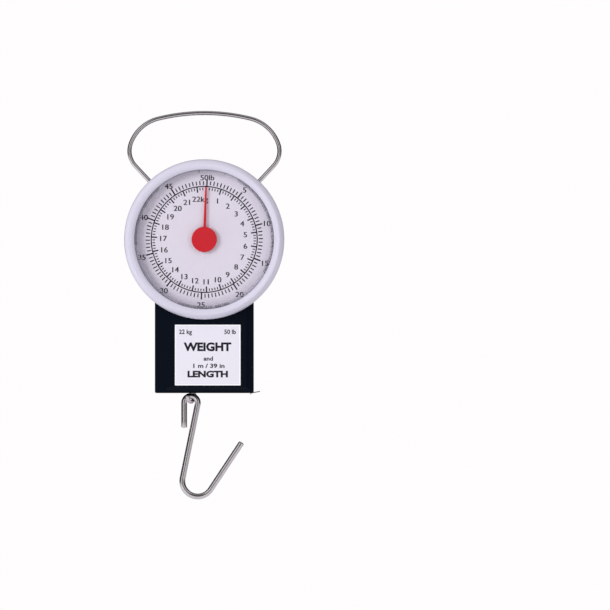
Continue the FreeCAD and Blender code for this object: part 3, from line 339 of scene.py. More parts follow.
@dataclass(frozen=True)
class DialPaper:
    """Satin printed dial: faint fibre, a slow drift of tone, and painted shade at the rim, darker to the
    lower left.
    """
    name: str
    colour: Colour
    # colour of the painted shade round the rim
    edge: Colour
    radius: float
    # how far up and to the right of the dial's middle the painted rim shade is centred
    painted_shade_offset: float = 1.6

    def make(self) -> Material:
        """Builds the material. The painted rim shade follows the distance from a point just up and right of
        the dial's middle.
        """
        s = Shader(self.name)
        out = s.from_middle((self.painted_shade_offset, 0, self.painted_shade_offset))
        fibre = s.noise(s.place(), 2.4, 5.0, 0.65)
        cloud = s.noise(s.place(), 0.05, 2.0)
        # painted shade: a band round the rim, darker towards the lower left
        rim = out.above(self.radius * 0.95, self.radius * 0.2)
        colour = s.mix(rim * 0.8 + (fibre - 0.5) * 0.25 + (cloud - 0.5) * 0.3, self.colour, self.edge)
        rough = (fibre - 0.5) * 0.2 + 0.5
        return s.finish(colour, rough, Normal=s.bump(fibre, 0.01, 0.5))


@dataclass(frozen=True)
class LabelCard:
    """Glossy label: a lilac-white field inside a brighter white border."""
    name: str
    colour: Colour
    border: Colour
    low: Array
    high: Array
    border_width: float = 0.75

    def make(self) -> Material:
        """Builds the material. The border is where the nearest edge is closer than its width."""
        s = Shader(self.name)
        x, _, z = s.split(s.place())
        edge = (x - self.low[0]).math("MINIMUM", self.high[0] - x)
        edge = edge.math("MINIMUM", (z - self.low[1]).math("MINIMUM", self.high[1] - z))
        fibre = s.noise(s.place(), 2.0, 4.0, 0.6)
        colour = s.mix(edge.below(self.border_width, 0.15), self.colour, self.border)
        colour = s.mix((fibre - 0.4) * 0.18, colour, (0.55, 0.53, 0.6))
        rough = (fibre - 0.5) * 0.15 + 0.34
        return s.finish(colour, rough, Normal=s.bump(fibre, 0.012, 0.6))


@dataclass(frozen=True)
class PrintedInk:
    """Dark ink, a little uneven and thinner in spots."""
    name: str
    colour: Colour
    thin: Colour

    def make(self) -> Material:
        """Builds the material."""
        s = Shader(self.name)
        spots = s.noise(s.place(), 3.0, 4.0, 0.6)
        colour = s.mix(spots.above(0.58, 0.25) * 0.6, self.colour, self.thin)
        return s.finish(colour, (spots - 0.5) * 0.3 + 0.45)


@dataclass(frozen=True)
class ClearCup:
    """Clear moulded cup: see-through face, painted shade lines where the wall is looked into, more to the
    lower left, and gloss from its angle.
    """
    name: str
    edge_radius: float
    wall: float
    tint: Colour = (0.985, 0.98, 0.99)
    # where the painted shade lines of the wall stand, and how wide they are
    line_inset: float = 0.2
    line_width: float = 0.16
    inner_width: float = 0.4
    face_gloss: float = 0.03
    rim_gloss: float = 0.4

    def make(self) -> Material:
        """Builds the material. The painted dark outline of the wall follows the distance from the middle of
        the cup.
        """
        s = Shader(self.name)
        x, _, z = s.split(s.place())
        out = s.from_middle()
        # painted shade: the inner line is darker towards the lower left
        lower_left_shade = (x + z).below(-10.0, 60.0)
        line_r = self.edge_radius - self.line_inset
        # painted shade: dark lines where the edge and the inside of the wall are seen, and a faint shade band
        # between them
        outline = out.band(line_r, self.line_width, 0.1) * 0.4
        inner_r = self.edge_radius - self.wall - self.line_inset
        inner = out.band(inner_r, self.inner_width, 0.2) * (0.12 + lower_left_shade * 0.2)
        between = out.band(self.edge_radius - self.wall / 2, self.wall, 0.4) * 0.07
        painted_wall_shade = outline + inner + between
        swirl = s.noise(s.place(), 0.05, 3.0)
        scratch = s.noise(s.place((0, 0, 0), (0.15, 1.0, 1.0)), 0.9, 5.0, 0.7).above(0.7, 0.05)
        facing = Num(s, s.node("LayerWeight", {}, {"Blend": 0.5}).outputs["Facing"])
        gloss = facing.math("POWER", 5.0) * self.rim_gloss + self.face_gloss
        body = (painted_wall_shade + gloss + scratch * 0.01).math("MINIMUM", 0.95)
        # where the painted wall shade lies, the surface turns dark lilac and not metallic
        shine = s.surface({
            "Base Color": s.mix(painted_wall_shade * 2.0, (0.95, 0.95, 1.0), (0.2, 0.18, 0.3)),
            "Roughness": swirl * 0.08 + 0.02,
            "Metallic": painted_wall_shade.below(0.05, 0.05),
            "Normal": s.bump(swirl, 0.3, 0.2),
        })
        clear = s.node("BsdfTransparent", {}, {"Color": (*self.tint, 1.0)})
        return s.close(s.node("MixShader", {}, {
            0: body, 1: clear.outputs[0], 2: shine.outputs[0],
        }))


@dataclass(frozen=True)
class TapePrint:
    """Steel tape lacquered white: a tick every millimetre, longer at 5 and 10, on both edges."""
    name: str
    colour: Colour
    ink: Colour
    front: float
    back: float

    def make(self) -> Material:
        """Builds the material. A tick is where the place along the tape is near a whole step."""
        s = Shader(self.name)
        x, y, _ = s.split(s.place())
        from_edge = (y - self.front).math("MINIMUM", self.back - y)
        ticks = Num(s, 0.0)
        for step, reach, thick in ((1.0, 1.6, 0.22), (5.0, 2.5, 0.3), (10.0, 3.6, 0.4)):
            near = (x / step).math("FRACT")
            near = near.math("MINIMUM", 1.0 - near) * step
            ticks = ticks.math("MAXIMUM", near.below(thick / 2, 0.08) * from_edge.below(reach, 0.1))
        grain = s.noise(s.place(), 1.6, 4.0, 0.6)
        worn = s.mix((grain - 0.4) * 0.5, self.colour, (0.5, 0.46, 0.36))
        return s.finish(s.mix(ticks, worn, self.ink), (grain - 0.5) * 0.2 + 0.36,
                        Normal=s.bump(grain, 0.01, 0.5), Metallic=grain * 0.15)


# ---- Surfaces ----

@dataclass
class Skin:
    """A grid of points, shape (rows, columns, 3), in millimetres from the middle of the dial.

    Rows follow the path or the profile, and columns go round. Faces look outwards where the columns turn
    left-handed about the way the rows run for a lathe, and right-handed for a tube.
    """
    points: Array
    wrap_rows: bool = False
    caps: bool = False
    along: Array | None = None

    def cells(self) -> tuple[int, int, Array, Array]:
        """Number of rows and columns, and the row and the column of each cell."""
        rows, columns = self.points.shape[:2]
        i = np.arange(rows if self.wrap_rows else rows - 1)[:, None]
        return rows, columns, i, np.arange(columns)[None, :]

    def quads(self) -> Array:
        """Four point numbers for each cell, worked out for the whole grid at once."""
        rows, columns, i, j = self.cells()
        i2, j2 = (i + 1) % rows, (j + 1) % columns
        cells = [i * columns + j, i * columns + j2, i2 * columns + j2, i2 * columns + j]
        return np.stack(np.broadcast_arrays(*cells), axis=-1).reshape(-1, 4)

    def ends(self) -> list[list[int]]:
        """The two end faces, if the grid has caps."""
        if not self.caps:
            return []
        rows, columns = self.points.shape[:2]
        first = np.arange(columns)
        return [first[::-1].tolist(), (first + (rows - 1) * columns).tolist()]

    def uv(self) -> Array:
        """U in millimetres along the rows and V from 0 to 1 round the columns, for each quad's corners."""
        rows, columns, i, j = self.cells()
        along = np.arange(rows, dtype=float) if self.along is None else self.along
        here, there = along[i], along[(i + 1) % rows]
        low, high = j / columns, (j + 1) / columns
        corners = [(here, low), (here, high), (there, high), (there, low)]
        pairs = [np.stack(np.broadcast_arrays(u, v), axis=-1) for u, v in corners]
        return np.stack(pairs, axis=2).reshape(-1, 2)


def linked(name: str, points: Array, faces: list) -> Object:
    """An object at the origin from points in metres, linked to the scene."""
    mesh = bpy.data.meshes.new(name)
    mesh.from_pydata(points.tolist(), [], faces)
    piece = bpy.data.objects.new(name, mesh)
    bpy.context.scene.collection.objects.link(piece)
    return piece


def piece_of(name: str, skins: Sequence[Skin], smooth: bool = True) -> Object:
    """One object at the origin from several grids, its place in its mesh.

    Args:
        name: the piece's name.
        skins: the grids.
        smooth: whether its faces are shaded smooth.

    Returns:
        The object, linked to the scene.
    """
    points, faces, uvs, start = [], [], [], 0
    for skin in skins:
        points.append(skin.points.reshape(-1, 3))
        ends = skin.ends()
        faces += (skin.quads() + start).tolist() + [[n + start for n in end] for end in ends]
        uvs += [skin.uv(), np.zeros((sum(map(len, ends)), 2))]
        start += len(points[-1])
    piece = linked(name, (np.concatenate(points) + MIDDLE) * MM, faces)
    mesh = piece.data
    layer = mesh.uv_layers.new(name="along")
    layer.data.foreach_set("uv", np.concatenate(uvs).astype(np.float32).ravel())
    mesh.polygons.foreach_set("use_smooth", np.full(len(mesh.polygons), smooth))
    mesh.validate()
    return piece


def dress(piece: Object, material: Material) -> None:
    """Gives a piece that one material, on the object's own slots for a CAD node."""
    if not piece.material_slots:
        piece.data.materials.append(material)
    for slot in piece.material_slots:
        slot.link = "OBJECT"
        slot.material = material


def settle(piece: Object, material: Material, body: str,
           replaced: Sequence[str] = ()) -> Object:
    """Dresses a piece, ties it to its body and hides the nodes it stands for.

    Args:
        piece: the new piece.
        material: its finish.
        body: the body it rides on.
        replaced: CAD nodes that it stands for.

    Returns:
        The piece.
    """
    piece.data.materials.append(material)
    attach(piece, body)
    if replaced:
        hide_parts(*replaced)
    LOG.info("%s: %d points on %s", piece.name, len(piece.data.vertices), body)
    return piece


def harden(piece: Object, degrees: float = 35.0) -> None:
    """Marks edges sharper than an angle, so that smooth shading stops there."""
    piece.data.set_sharp_from_angle(angle=np.radians(degrees))


def turned(vectors: Array, axis: Array, angles: Array) -> Array:
    """Vectors turned about a unit axis: v cos a + (axis x v) sin a + axis (axis . v)(1 - cos a).

    Args:
        vectors: one vector, or one for each angle.
        axis: the axis.
        angles: angles in radians.

    Returns:
        One vector for each angle.
    """
    a = angles[:, None]
    along = axis * (vectors @ axis)[..., None]
    return vectors * np.cos(a) + np.cross(axis, vectors) * np.sin(a) + along * (1 - np.cos(a))


@dataclass(frozen=True)
class Bend:
    """An arc of a wire: its radius, the angle it turns, and the axis it turns about."""
    radius: float
    degrees: float
    axis: Array


@dataclass
class WirePath:
    """The middle line of a bent wire, with the directions of its section carried along."""
    at: Array
    heading: Array
    side: Array
    step: float = 1.2
    rows: list[tuple[Array, Array, Array]] = field(default_factory=list)

    def straight(self, length: float) -> "WirePath":
        """Runs on by a length."""
        t = np.linspace(0, length, max(2, int(length / 3) + 1))[:, None]
        self._add(self.at + self.heading * t, self.heading + 0 * t, self.side + 0 * t)
        return self

    def bend(self, bend: Bend) -> "WirePath":
        """Turns on an arc: point = centre + (start - centre) turned by the angle."""
        axis = np.asarray(bend.axis, float)
        centre = self.at + np.cross(axis, self.heading) * bend.radius
        total = np.radians(bend.degrees)
        count = max(6, int(np.ceil(bend.degrees / 5)), int(bend.radius * total / self.step) + 1)
        angles = np.linspace(0, total, count)
        spokes = turned(self.at - centre, axis, angles)
        self._add(centre + spokes, turned(self.heading, axis, angles), turned(self.side, axis, angles))
        return self

    def _add(self, points: Array, headings: Array, sides: Array) -> None:
        """Keeps a stretch, without the point it shares with the one before."""
        first = 1 if self.rows else 0
        self.rows.append((points[first:], headings[first:], sides[first:]))
        self.at, self.heading, self.side = points[-1], headings[-1], sides[-1]

    def lines(self) -> tuple[Array, Array, Array]:
        """All points, headings and sides."""
        return tuple(np.concatenate(part) for part in zip(*self.rows))


def tube(points: Array, headings: Array, sides: Array, radius: float, around: int = 28,
         rounded: tuple[float, float] = (0.0, 0.0)) -> Skin:
    """A round skin along a line: point + r (cos a * side + sin a * heading x side).

    Args:
        points: the middle line.
        headings: its direction at each point.
        sides: a direction across it at each point.
        radius: radius of the wire.
        around: points round the wire.
        rounded: height of the domed start and end as a share of the radius; 0 is cut square.

    Returns:
        The skin.
    """
    share = np.ones(len(points))
    for end, height in enumerate(rounded):
        if not height:
            continue
        pick, sign = (-1, 1.0) if end else (0, -1.0)
        a = DOME if end else DOME[::-1]
        same = np.ones((len(a), 1))
        extra = [points[pick] + headings[pick] * (sign * height * radius * np.sin(a))[:, None],
                 headings[pick] * same, sides[pick] * same, np.cos(a)]
        old = [points, headings, sides, share]
        pairs = zip(old, extra) if end else zip(extra, old)
        points, headings, sides, share = (np.concatenate(pair) for pair in pairs)
    angle = np.linspace(0, 2 * np.pi, around, endpoint=False)[None, :, None]
    across = np.cross(headings, sides)
    ring = np.cos(angle) * sides[:, None] + np.sin(angle) * across[:, None]
    steps = np.linalg.norm(np.diff(points, axis=0), axis=1)
    along = np.concatenate([[0.0], np.cumsum(steps)])
    return Skin(points[:, None] + radius * share[:, None, None] * ring, caps=True, along=along)


def arc_through(a: Sequence[float], b: Sequence[float], c: Sequence[float], count: int = 12) -> Array:
    """Points (r, y) on the circle through three points, from the first to the last.

    The centre is where the perpendicular bisectors of the two chords meet.
    """
    a, b, c = (np.asarray(p, float) for p in (a, b, c))
    system = np.array([b - a, c - b]) * 2
    centre = np.linalg.solve(system, np.array([b @ b - a @ a, c @ c - b @ b]))
    start, middle, end = (np.arctan2(*(p - centre)[::-1]) for p in (a, b, c))
    sweep = (end - start + np.pi) % (2 * np.pi) - np.pi
    if not 0 <= ((middle - start + np.pi) % (2 * np.pi) - np.pi) / sweep <= 1:
        sweep -= np.sign(sweep) * 2 * np.pi
    angles = start + np.linspace(0, sweep, count)
    radius = np.linalg.norm(a - centre)
    return centre + radius * np.stack([np.cos(angles), np.sin(angles)], axis=1)


def lathe(profile: Array, around: int = 240) -> Skin:
    """A profile of (radius, y) points turned about the dial's axis: x = r sin a, z = r cos a.

    Args:
        profile: a closed outline that runs backwards on its outer side.
        around: points round the axis.

    Returns:
        The skin.
    """
    angle = np.linspace(0, 2 * np.pi, around, endpoint=False)[None, :]
    r, y = profile[:, :1], profile[:, 1:]
    grid = np.stack([r * np.sin(angle), y + 0 * angle, r * np.cos(angle)], axis=-1)
    return Skin(grid, wrap_rows=True)


# ---- Wires ----

@dataclass
class CarryHandle:
    """Carrying handle of one wire: a flat top arc, shoulders, closing arcs, and legs bent forward as feet."""
    material: Material
    wire_r: float = 1.3
    rise: float = 76.0
    bends: tuple = (Bend(116.7, 13.7, Y), Bend(23.6, 57.0, Y), Bend(13.1, 62.3, Y))
    foot_bend_r: float = 2.6
    foot_r: float = 36.0
    foot_depth: float = 9.4

    def half(self) -> tuple[Array, Array, Array]:
        """Middle line of the right half, from the top to the foot."""
        path = WirePath(np.array([0.0, 0.0, self.rise]), X, Y)
        for bend in self.bends:
            path.bend(bend)
        path.straight(np.hypot(path.at[0], path.at[2]) - self.foot_r - self.foot_bend_r)
        path.bend(Bend(self.foot_bend_r, 90.0, np.cross(path.heading, -Y)))
        path.straight(self.foot_depth - self.foot_bend_r)
        return path.lines()

    def build(self) -> Object:
        """Makes the wire from its right half and the mirror of it."""
        points, headings, sides = self.half()
        mirror = np.array([-1.0, 1.0, 1.0])
        left = (points[:0:-1] * mirror, -headings[:0:-1] * mirror, sides[:0:-1] * mirror)
        whole = [np.concatenate(pair) for pair in zip(left, (points, headings, sides))]
        piece = piece_of("handle_wire", [tube(*whole, self.wire_r, 32, (0.35, 0.35))])
        return settle(piece, self.material, "case", ["handle"])


@dataclass
class LoadRod:
    """Rod from the carriage down to the eye that the hook hangs in."""
    material: Material
    x: float = -8.1
    wire_r: float = 1.2
    neck_r: float = 1.6
    eye_r: float = 3.8
    eye_z: float = -93.7
    wrap: float = 250.0
    plane_turn: float = -32.0

    def build(self) -> Object:
        """Makes the rod, neck and eye as one wire, then turns its plane about the rod."""
        top = node_box("load_rod")[1][2]
        reach = self.eye_r + self.neck_r
        drop = np.sqrt(reach ** 2 - self.neck_r ** 2)
        path = WirePath(np.array([self.x, 0.0, top]), -Z, X)
        path.straight(top - self.eye_z - drop)
        path.bend(Bend(self.neck_r, float(np.degrees(np.arctan2(drop, self.neck_r))), X))
        path.bend(Bend(self.eye_r, self.wrap, -X))
        skin = tube(*path.lines(), self.wire_r, 28, (0.0, 0.45))
        about = np.array([self.x, 0.0, 0.0])
        turn = np.array(Matrix.Rotation(np.radians(self.plane_turn), 3, "Z"))
        skin.points = (skin.points - about) @ turn.T + about
        return settle(piece_of("eye_rod", [skin]), self.material, "load_rod", ["load_rod"])


@dataclass
class OpenHook:
    """Open hook of one wire: short leg, top bend round the eye, shank, wide bend and open leg."""
    material: Material
    wire_r: float = 1.75
    top: Bend = field(default_factory=lambda: Bend(4.1, 191.5, Y))
    tail: float = 14.5
    shank: float = 45.3
    bottom: Bend = field(default_factory=lambda: Bend(9.25, 158.0, -Y))
    tip: float = 33.4

    def build(self) -> Object:
        """Makes the wire from the end of the short leg to the tip."""
        bend_z = node_box("hook")[1][2] - self.wire_r - self.top.radius
        start = np.array([LoadRod.x - self.top.radius, 0.0, bend_z - self.tail])
        path = WirePath(start, Z, Y)
        path.straight(self.tail).bend(self.top).straight(self.shank).bend(self.bottom).straight(self.tip)
        skin = tube(*path.lines(), self.wire_r, 40, (0.35, 0.35))
        return settle(piece_of("hook_wire", [skin]), self.material, "hook", ["hook"])


class SpringEnd(Enum):
    """An end of the spring, as the way its hook points along Z."""
    TOP = 1.0
    BOTTOM = -1.0


@dataclass
class MainSpring:
    """Extension spring with a half hook at each end, made at the packed length; the real one stretches as the
    carriage goes down.
    """
    material: Material
    x: float = -8.1
    wire_r: float = 1.1
    mean_r: float = 4.8
    stem: float = 2.0
    turns: int = 14
    around: int = 16
    points_a_turn: int = 28
    domes: tuple[float, float] = (0.3, 0.3)

    def hook(self, centre_z: float, end: SpringEnd) -> Skin:
        """Half ring with its stems, at one end of the spring."""
        sign = end.value
        start = np.array([self.x - self.mean_r, 0.0, centre_z - sign * self.stem])
        path = WirePath(start, Z * sign, Y)
        path.straight(self.stem).bend(Bend(self.mean_r, 180.0, Y * sign)).straight(self.stem / 2)
        return tube(*path.lines(), self.wire_r, self.around, self.domes)

    def build(self) -> Object:
        """Makes the coils: x = -r cos a, y = -r sin a, z rising with a; and the two hooks."""
        low, high = node_box("main_spring")
        ends = (low[2] + self.wire_r + self.mean_r, high[2] - self.wire_r - self.mean_r)
        z0, z1 = ends[0] + self.stem, ends[1] - self.stem
        t = np.linspace(0, 1, self.turns * self.points_a_turn + 1)
        a = 2 * np.pi * self.turns * t
        out = np.stack([-np.cos(a), -np.sin(a), 0 * a], axis=1)
        points = self.mean_r * out + np.stack([self.x + 0 * a, 0 * a, z0 + (z1 - z0) * t], axis=1)
        run = np.stack([np.sin(a), -np.cos(a), 0 * a], axis=1) * self.mean_r * 2 * np.pi * self.turns
        run[:, 2] = z1 - z0
        run /= np.linalg.norm(run, axis=1)[:, None]
        coils = tube(points, run, out, self.wire_r, self.around, self.domes)
        hooks = [self.hook(ends[0], SpringEnd.BOTTOM), self.hook(ends[1], SpringEnd.TOP)]
        piece = piece_of("spring_coils", [coils, *hooks])
        piece.data.materials.append(self.material)
        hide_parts("main_spring")
        line = [(self.x * MM, 0.0, (z + MIDDLE[2]) * MM) for z in (high[2], low[2])]
        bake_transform(piece)
        LOG.info("%s: stretches between case and carriage", piece.name)
        return piece


# ---- Dial side ----

@dataclass
class BezelRing:
    """White ring: rounded outside, dished towards the lens, with a spigot into the case."""
    material: Material
    crest_inset: float = 2.7
    side: float = 1.6
    spigot_wall: float = 1.7
    gap: float = 0.15
    lens_flange: float = 0.8
    lip_back: float = 0.3
    dial_room: float = 0.9
    spigot_gap: float = 0.25
    depth: float = 7.0
    bulge: tuple[float, float] = (0.75, 4.9)
    dish: float = 0.35

    def build(self) -> Object:
        """Turns the outline that runs over the crest, down the side, and back inside the case."""
        low, high = node_box("bezel_ring")
        lens_low, lens_high = node_box("lens")
        dial_low, dial_high = node_box("dial_plate")
        out, crest, end = high[0], low[1], high[1]
        bore, lip = lens_high[0] - self.lens_flange + self.gap, lens_low[1] + self.lip_back
        shoulder, spigot_in = dial_low[1] - self.dial_room, dial_high[0] + self.spigot_gap
        spigot_out = spigot_in + self.spigot_wall
        seat, crest_r = crest + self.depth, out - self.crest_inset
        widest = (out - self.bulge[0], seat - self.bulge[1])
        outer = arc_through((crest_r, crest), widest, (out, seat - self.side), 16)
        lowest = ((crest_r + bore) / 2, crest + self.dish)
        inner = arc_through((bore, lip), lowest, (crest_r, crest), 10)[:-1]
        lower_side = np.linspace((out, seat - self.side), (out, seat), 4)[1:]
        wall = np.array([(spigot_out, seat), (spigot_out, end), (spigot_in, end), (spigot_in, shoulder),
                         (bore, shoulder)])
        piece = piece_of("white_ring", [lathe(np.concatenate([outer, lower_side, wall, inner]), 288)])
        harden(piece)
        return settle(piece, self.material, "case", ["bezel_ring"])


@dataclass
class LensCup:
    """Clear cup over the dial: rounded front edge, drafted inside wall, and a flange under the ring."""
    material: Material
    wall: float = 1.5
    edge_r: float = 1.4
    flange: float = 0.8
    draft: float = 0.45
    inner_edge_r: float = 0.5
    pinhole: float = 0.02

    def build(self) -> Object:
        """Turns the outline: face, rounded edge, side, flange, and inside, which opens towards the dial."""
        low, high = node_box("lens")
        r, front, back = high[0] - self.flange, low[1], high[1]
        flat = r - self.edge_r
        rr = np.linspace(self.pinhole, flat, 12)
        face = np.stack([rr, front + 0 * rr], axis=1)
        turn = np.radians(np.linspace(0, 90, 9))[1:]
        edge = np.stack([flat + self.edge_r * np.sin(turn),
                         front + self.edge_r * (1 - np.cos(turn))], axis=1)
        side = np.array([(r, back - self.flange), (r + self.flange, back - self.flange),
                         (r + self.flange, back), (r - self.wall, back)])
        soft = np.radians(np.linspace(90, 0, 5))[:-1]
        corner = r - self.wall - self.draft - self.inner_edge_r
        inner_edge = np.stack([corner + self.inner_edge_r * np.sin(soft),
                               front + self.wall + self.inner_edge_r * (1 - np.cos(soft))], axis=1)
        inside = np.array([(corner, front + self.wall), (self.pinhole, front + self.wall)])
        skin = lathe(np.concatenate([face, edge, side, inner_edge, inside]), 192)
        skin.wrap_rows, skin.caps = False, False
        piece = piece_of("clear_cup", [skin])
        self.close_middle(piece)
        harden(piece)
        return settle(piece, self.material, "case", ["lens"])

    @staticmethod
    def close_middle(piece: Object) -> None:
        """Closes the two tiny holes in the middle of the face."""
        work = bmesh.new()
        work.from_mesh(piece.data)
        bmesh.ops.holes_fill(work, edges=[e for e in work.edges if e.is_boundary], sides=0)
        bmesh.ops.recalc_face_normals(work, faces=work.faces)
        work.to_mesh(piece.data)
        work.free()
        piece.data.polygons.foreach_set("use_smooth", np.full(len(piece.data.polygons), True))


@dataclass(frozen=True)
class Wording:
    """A line of print: what it says, its height, where its middle stands, its stretch and its weight."""
    text: str
    height: float
    x: float
    z: float
    width: float = 1.0
    weight: float = 0.0


def print_text(name: str, lines: Sequence[Wording], y: float, thick: float = 0.03) -> Object:
    """Raised print from text, in one mesh, that faces the front.

    Args:
        name: the piece's name.
        lines: what is printed.
        y: the surface it stands on.
        thick: thickness of the print.

    Returns:
        The object.
    """
    upright = Matrix.Rotation(np.pi / 2, 4, "X")
    points, faces, start = [], [], 0
    for line in lines:
        curve = bpy.data.curves.new(name, "FONT")
        curve.body, curve.size = line.text, line.height * SIZE_OF_CAPITALS
        curve.align_x = "CENTER"
        curve.extrude, curve.offset, curve.resolution_u = thick / 2, line.weight, 3
        maker = bpy.data.objects.new(name, curve)
        mesh = bpy.data.meshes.new_from_object(maker)
        spot = Vector((line.x + MIDDLE[0], y - thick / 2, line.z + MIDDLE[2]))
        centred = Matrix.Translation((0, -line.height / 2, 0))
        mesh.transform(Matrix.Scale(MM, 4) @ Matrix.Translation(spot) @ upright
                       @ Matrix.Diagonal((line.width, 1, 1, 1)) @ centred)
        co = np.empty(len(mesh.vertices) * 3)
        mesh.vertices.foreach_get("co", co)
        points.append(co.reshape(-1, 3))
        faces += [[n + start for n in p.vertices] for p in mesh.polygons]
        start += len(mesh.vertices)
        bpy.data.objects.remove(maker)
        bpy.data.curves.remove(curve)
        bpy.data.meshes.remove(mesh)
    return linked(name, np.concatenate(points), faces)


def bars(name: str, centres: Array, along: Array, half_long: Array, half_wide: Array, y: float,
         thick: float) -> Object:
    """Thin bars on the dial in one mesh, each a closed box of eight points.

    Args:
        name: the piece's name.
        centres: X and Z of each bar's middle.
        along: unit X and Z direction of each bar.
        half_long: half length of each bar.
        half_wide: half width of each bar.
        y: the surface they stand on.
        thick: their thickness.

    Returns:
        The object.
    """
    across = np.stack([along[:, 1], -along[:, 0]], axis=1)
    ends = np.array([(-1, -1), (-1, 1), (1, 1), (1, -1)], float)
    flat = (centres[:, None] + ends[None, :, :1] * (along * half_long[:, None])[:, None]
            + ends[None, :, 1:] * (across * half_wide[:, None])[:, None])
    grid = np.empty((len(centres), 8, 3))
    grid[..., ::2] = np.concatenate([flat, flat], axis=1)
    grid[:, :4, 1], grid[:, 4:, 1] = y - thick, y
    box = np.array([(0, 1, 2, 3), (7, 6, 5, 4), (0, 4, 5, 1), (1, 5, 6, 2), (2, 6, 7, 3), (3, 7, 4, 0)])
    faces = (np.arange(len(grid))[:, None, None] * 8 + box[None]).reshape(-1, 4)
    return linked(name, (grid.reshape(-1, 3) + MIDDLE) * MM, faces.tolist())


@dataclass
class DialPrint:
    """Printing on the dial: a ring line, pounds outside it and kilograms inside it.

    Ticks stand at each half pound, longer at one and longest at five, and at each fifth of a kilogram,
    longer at one.
    """
    ink: Material
    ring_r: float = 31.75
    ring_width: float = 0.68
    pounds: int = 50
    kilos: int = 22
    pounds_to_kilo: float = 2.20462
    turn: float = 2.8
    thick: float = 0.03
    numeral: float = 3.3
    numeral_drop: float = 0.45
    numeral_width: float = 1.1
    pound_kinds: TickKinds = ((0.0, 4.3, 0.86), (0.85, 3.4, 0.68), (0.85, 3.2, 0.64))
    kilo_kinds: TickKinds = ((-0.1, 0.0, 0.8), (-3.5, 0.0, 0.8), (-2.2, -0.75, 0.6))
    pound_r: float = 38.7
    kilo_r: float = 24.9
    lb_inwards: float = 1.1
    kg_shift: float = 1.0
    stroke: float = 0.1

    def angle(self, pounds: Array | float) -> Array:
        """Angle from the top for a load in pounds, clockwise, in degrees."""
        return np.asarray(pounds) * 360.0 / self.pounds + self.turn

    def ticks(self, name: str, loads: Array, kinds: TickKinds, kind: Array) -> None:
        """Radial bars, each at its load.

        Args:
            name: the piece's name.
            loads: the load in pounds for each bar.
            kinds: start and end of each kind of bar, off the ring line, and its width.
            kind: number of each bar's kind.
        """
        inner, outer, wide = np.array(kinds)[kind].T
        inner, outer = self.ring_r + inner, self.ring_r + outer
        a = np.radians(self.angle(loads))
        out = np.stack([np.sin(a), np.cos(a)], axis=1)
        y = node_box("dial_plate")[0][1]
        middles = out * ((inner + outer) / 2)[:, None]
        piece = bars(name, middles, out, (outer - inner) / 2, wide / 2, y, self.thick)
        settle(piece, self.ink, "case")

    def numerals(self) -> None:
        """Pounds by fives and each kilogram."""
        pounds, kilos = np.arange(5, self.pounds + 1, 5), np.arange(1, self.kilos + 1)
        loads = kilos * self.pounds_to_kilo
        self.numeral_row("pound_numerals", pounds, pounds, self.pound_r, "lb", (self.lb_inwards, 0.0))
        self.numeral_row("kilo_numerals", kilos, loads, self.kilo_r, "kg", (0.0, self.kg_shift))

    def numeral_row(self, name: str, numbers: Array, pounds: Array, r: float, unit: str,
                    last: tuple[float, float]) -> None:
        """Prints numbers on a circle, each twice at a stroke's distance, so that it comes out bolder.

        Args:
            name: the piece's name.
            numbers: what is printed.
            pounds: the load that each stands for.
            r: radius of the circle.
            unit: what follows the last number.
            last: how far the last number stands inwards and to the right, to make room for its unit.
        """
        words = []
        for number, load in zip(numbers, pounds):
            a, text, at_r, shift = np.radians(self.angle(load)), f"{number}", r, 0.0
            if number == numbers[-1]:
                text, at_r, shift = text + unit, r - last[0], last[1]
            words += [Wording(text, self.numeral, at_r * np.sin(a) + shift + side,
                              at_r * np.cos(a) - self.numeral_drop, self.numeral_width)
                      for side in (-self.stroke, self.stroke)]
        y = node_box("dial_plate")[0][1]
        settle(print_text(name, words, y, self.thick), self.ink, "case")

    def build(self) -> None:
        """Prints the ring line, the ticks and the numerals."""
        y = node_box("dial_plate")[0][1]
        r0, r1 = self.ring_r - self.ring_width / 2, self.ring_r + self.ring_width / 2
        line = lathe(np.array([(r0, y - self.thick), (r1, y - self.thick), (r1, y), (r0, y)]), 180)
        settle(piece_of("ring_line", [line], smooth=False), self.ink, "case")
        half, fifth = np.arange(self.pounds * 2), np.arange(int(self.kilos * 5) + 3)
        kind = np.select([half % 10 == 0, half % 2 == 0], [0, 1], 2)
        self.ticks("pound_ticks", half / 2, self.pound_kinds, kind)
        kind = np.select([fifth == 0, fifth % 5 == 0], [0, 1], 2)
        self.ticks("kilo_ticks", fifth / 5 * self.pounds_to_kilo, self.kilo_kinds, kind)
        self.numerals()


@dataclass
class LabelPrint:
    """Print on the label: the two ranges and what the two tools measure."""
    ink: Material

    def build(self) -> None:
        """Prints the lines. Places are shares of the label's width and height from its middle."""
        low, high = node_box("label")
        middle, size = (low + high) / 2, high - low
        rows = [("22 kg", 2.7, -0.34, 0.385, 0.95, 0.09), ("50 lb", 2.7, 0.34, 0.385, 0.95, 0.09),
                ("WEIGHT", 4.9, 0.0, 0.14, 1.07, 0.3), ("and", 2.5, 0.01, -0.055, 1.15, 0.1),
                ("1 m / 39 in", 2.5, 0.01, -0.175, 1.3, 0.1), ("LENGTH", 3.7, 0.0, -0.31, 1.25, 0.24)]
        words = [Wording(text, height, middle[0] + dx * size[0], middle[2] + dz * size[2], width, weight)
                 for text, height, dx, dz, width, weight in rows]
        settle(print_text("label_print", words, low[1], 0.03), self.ink, "case")


# ---- Tape ----

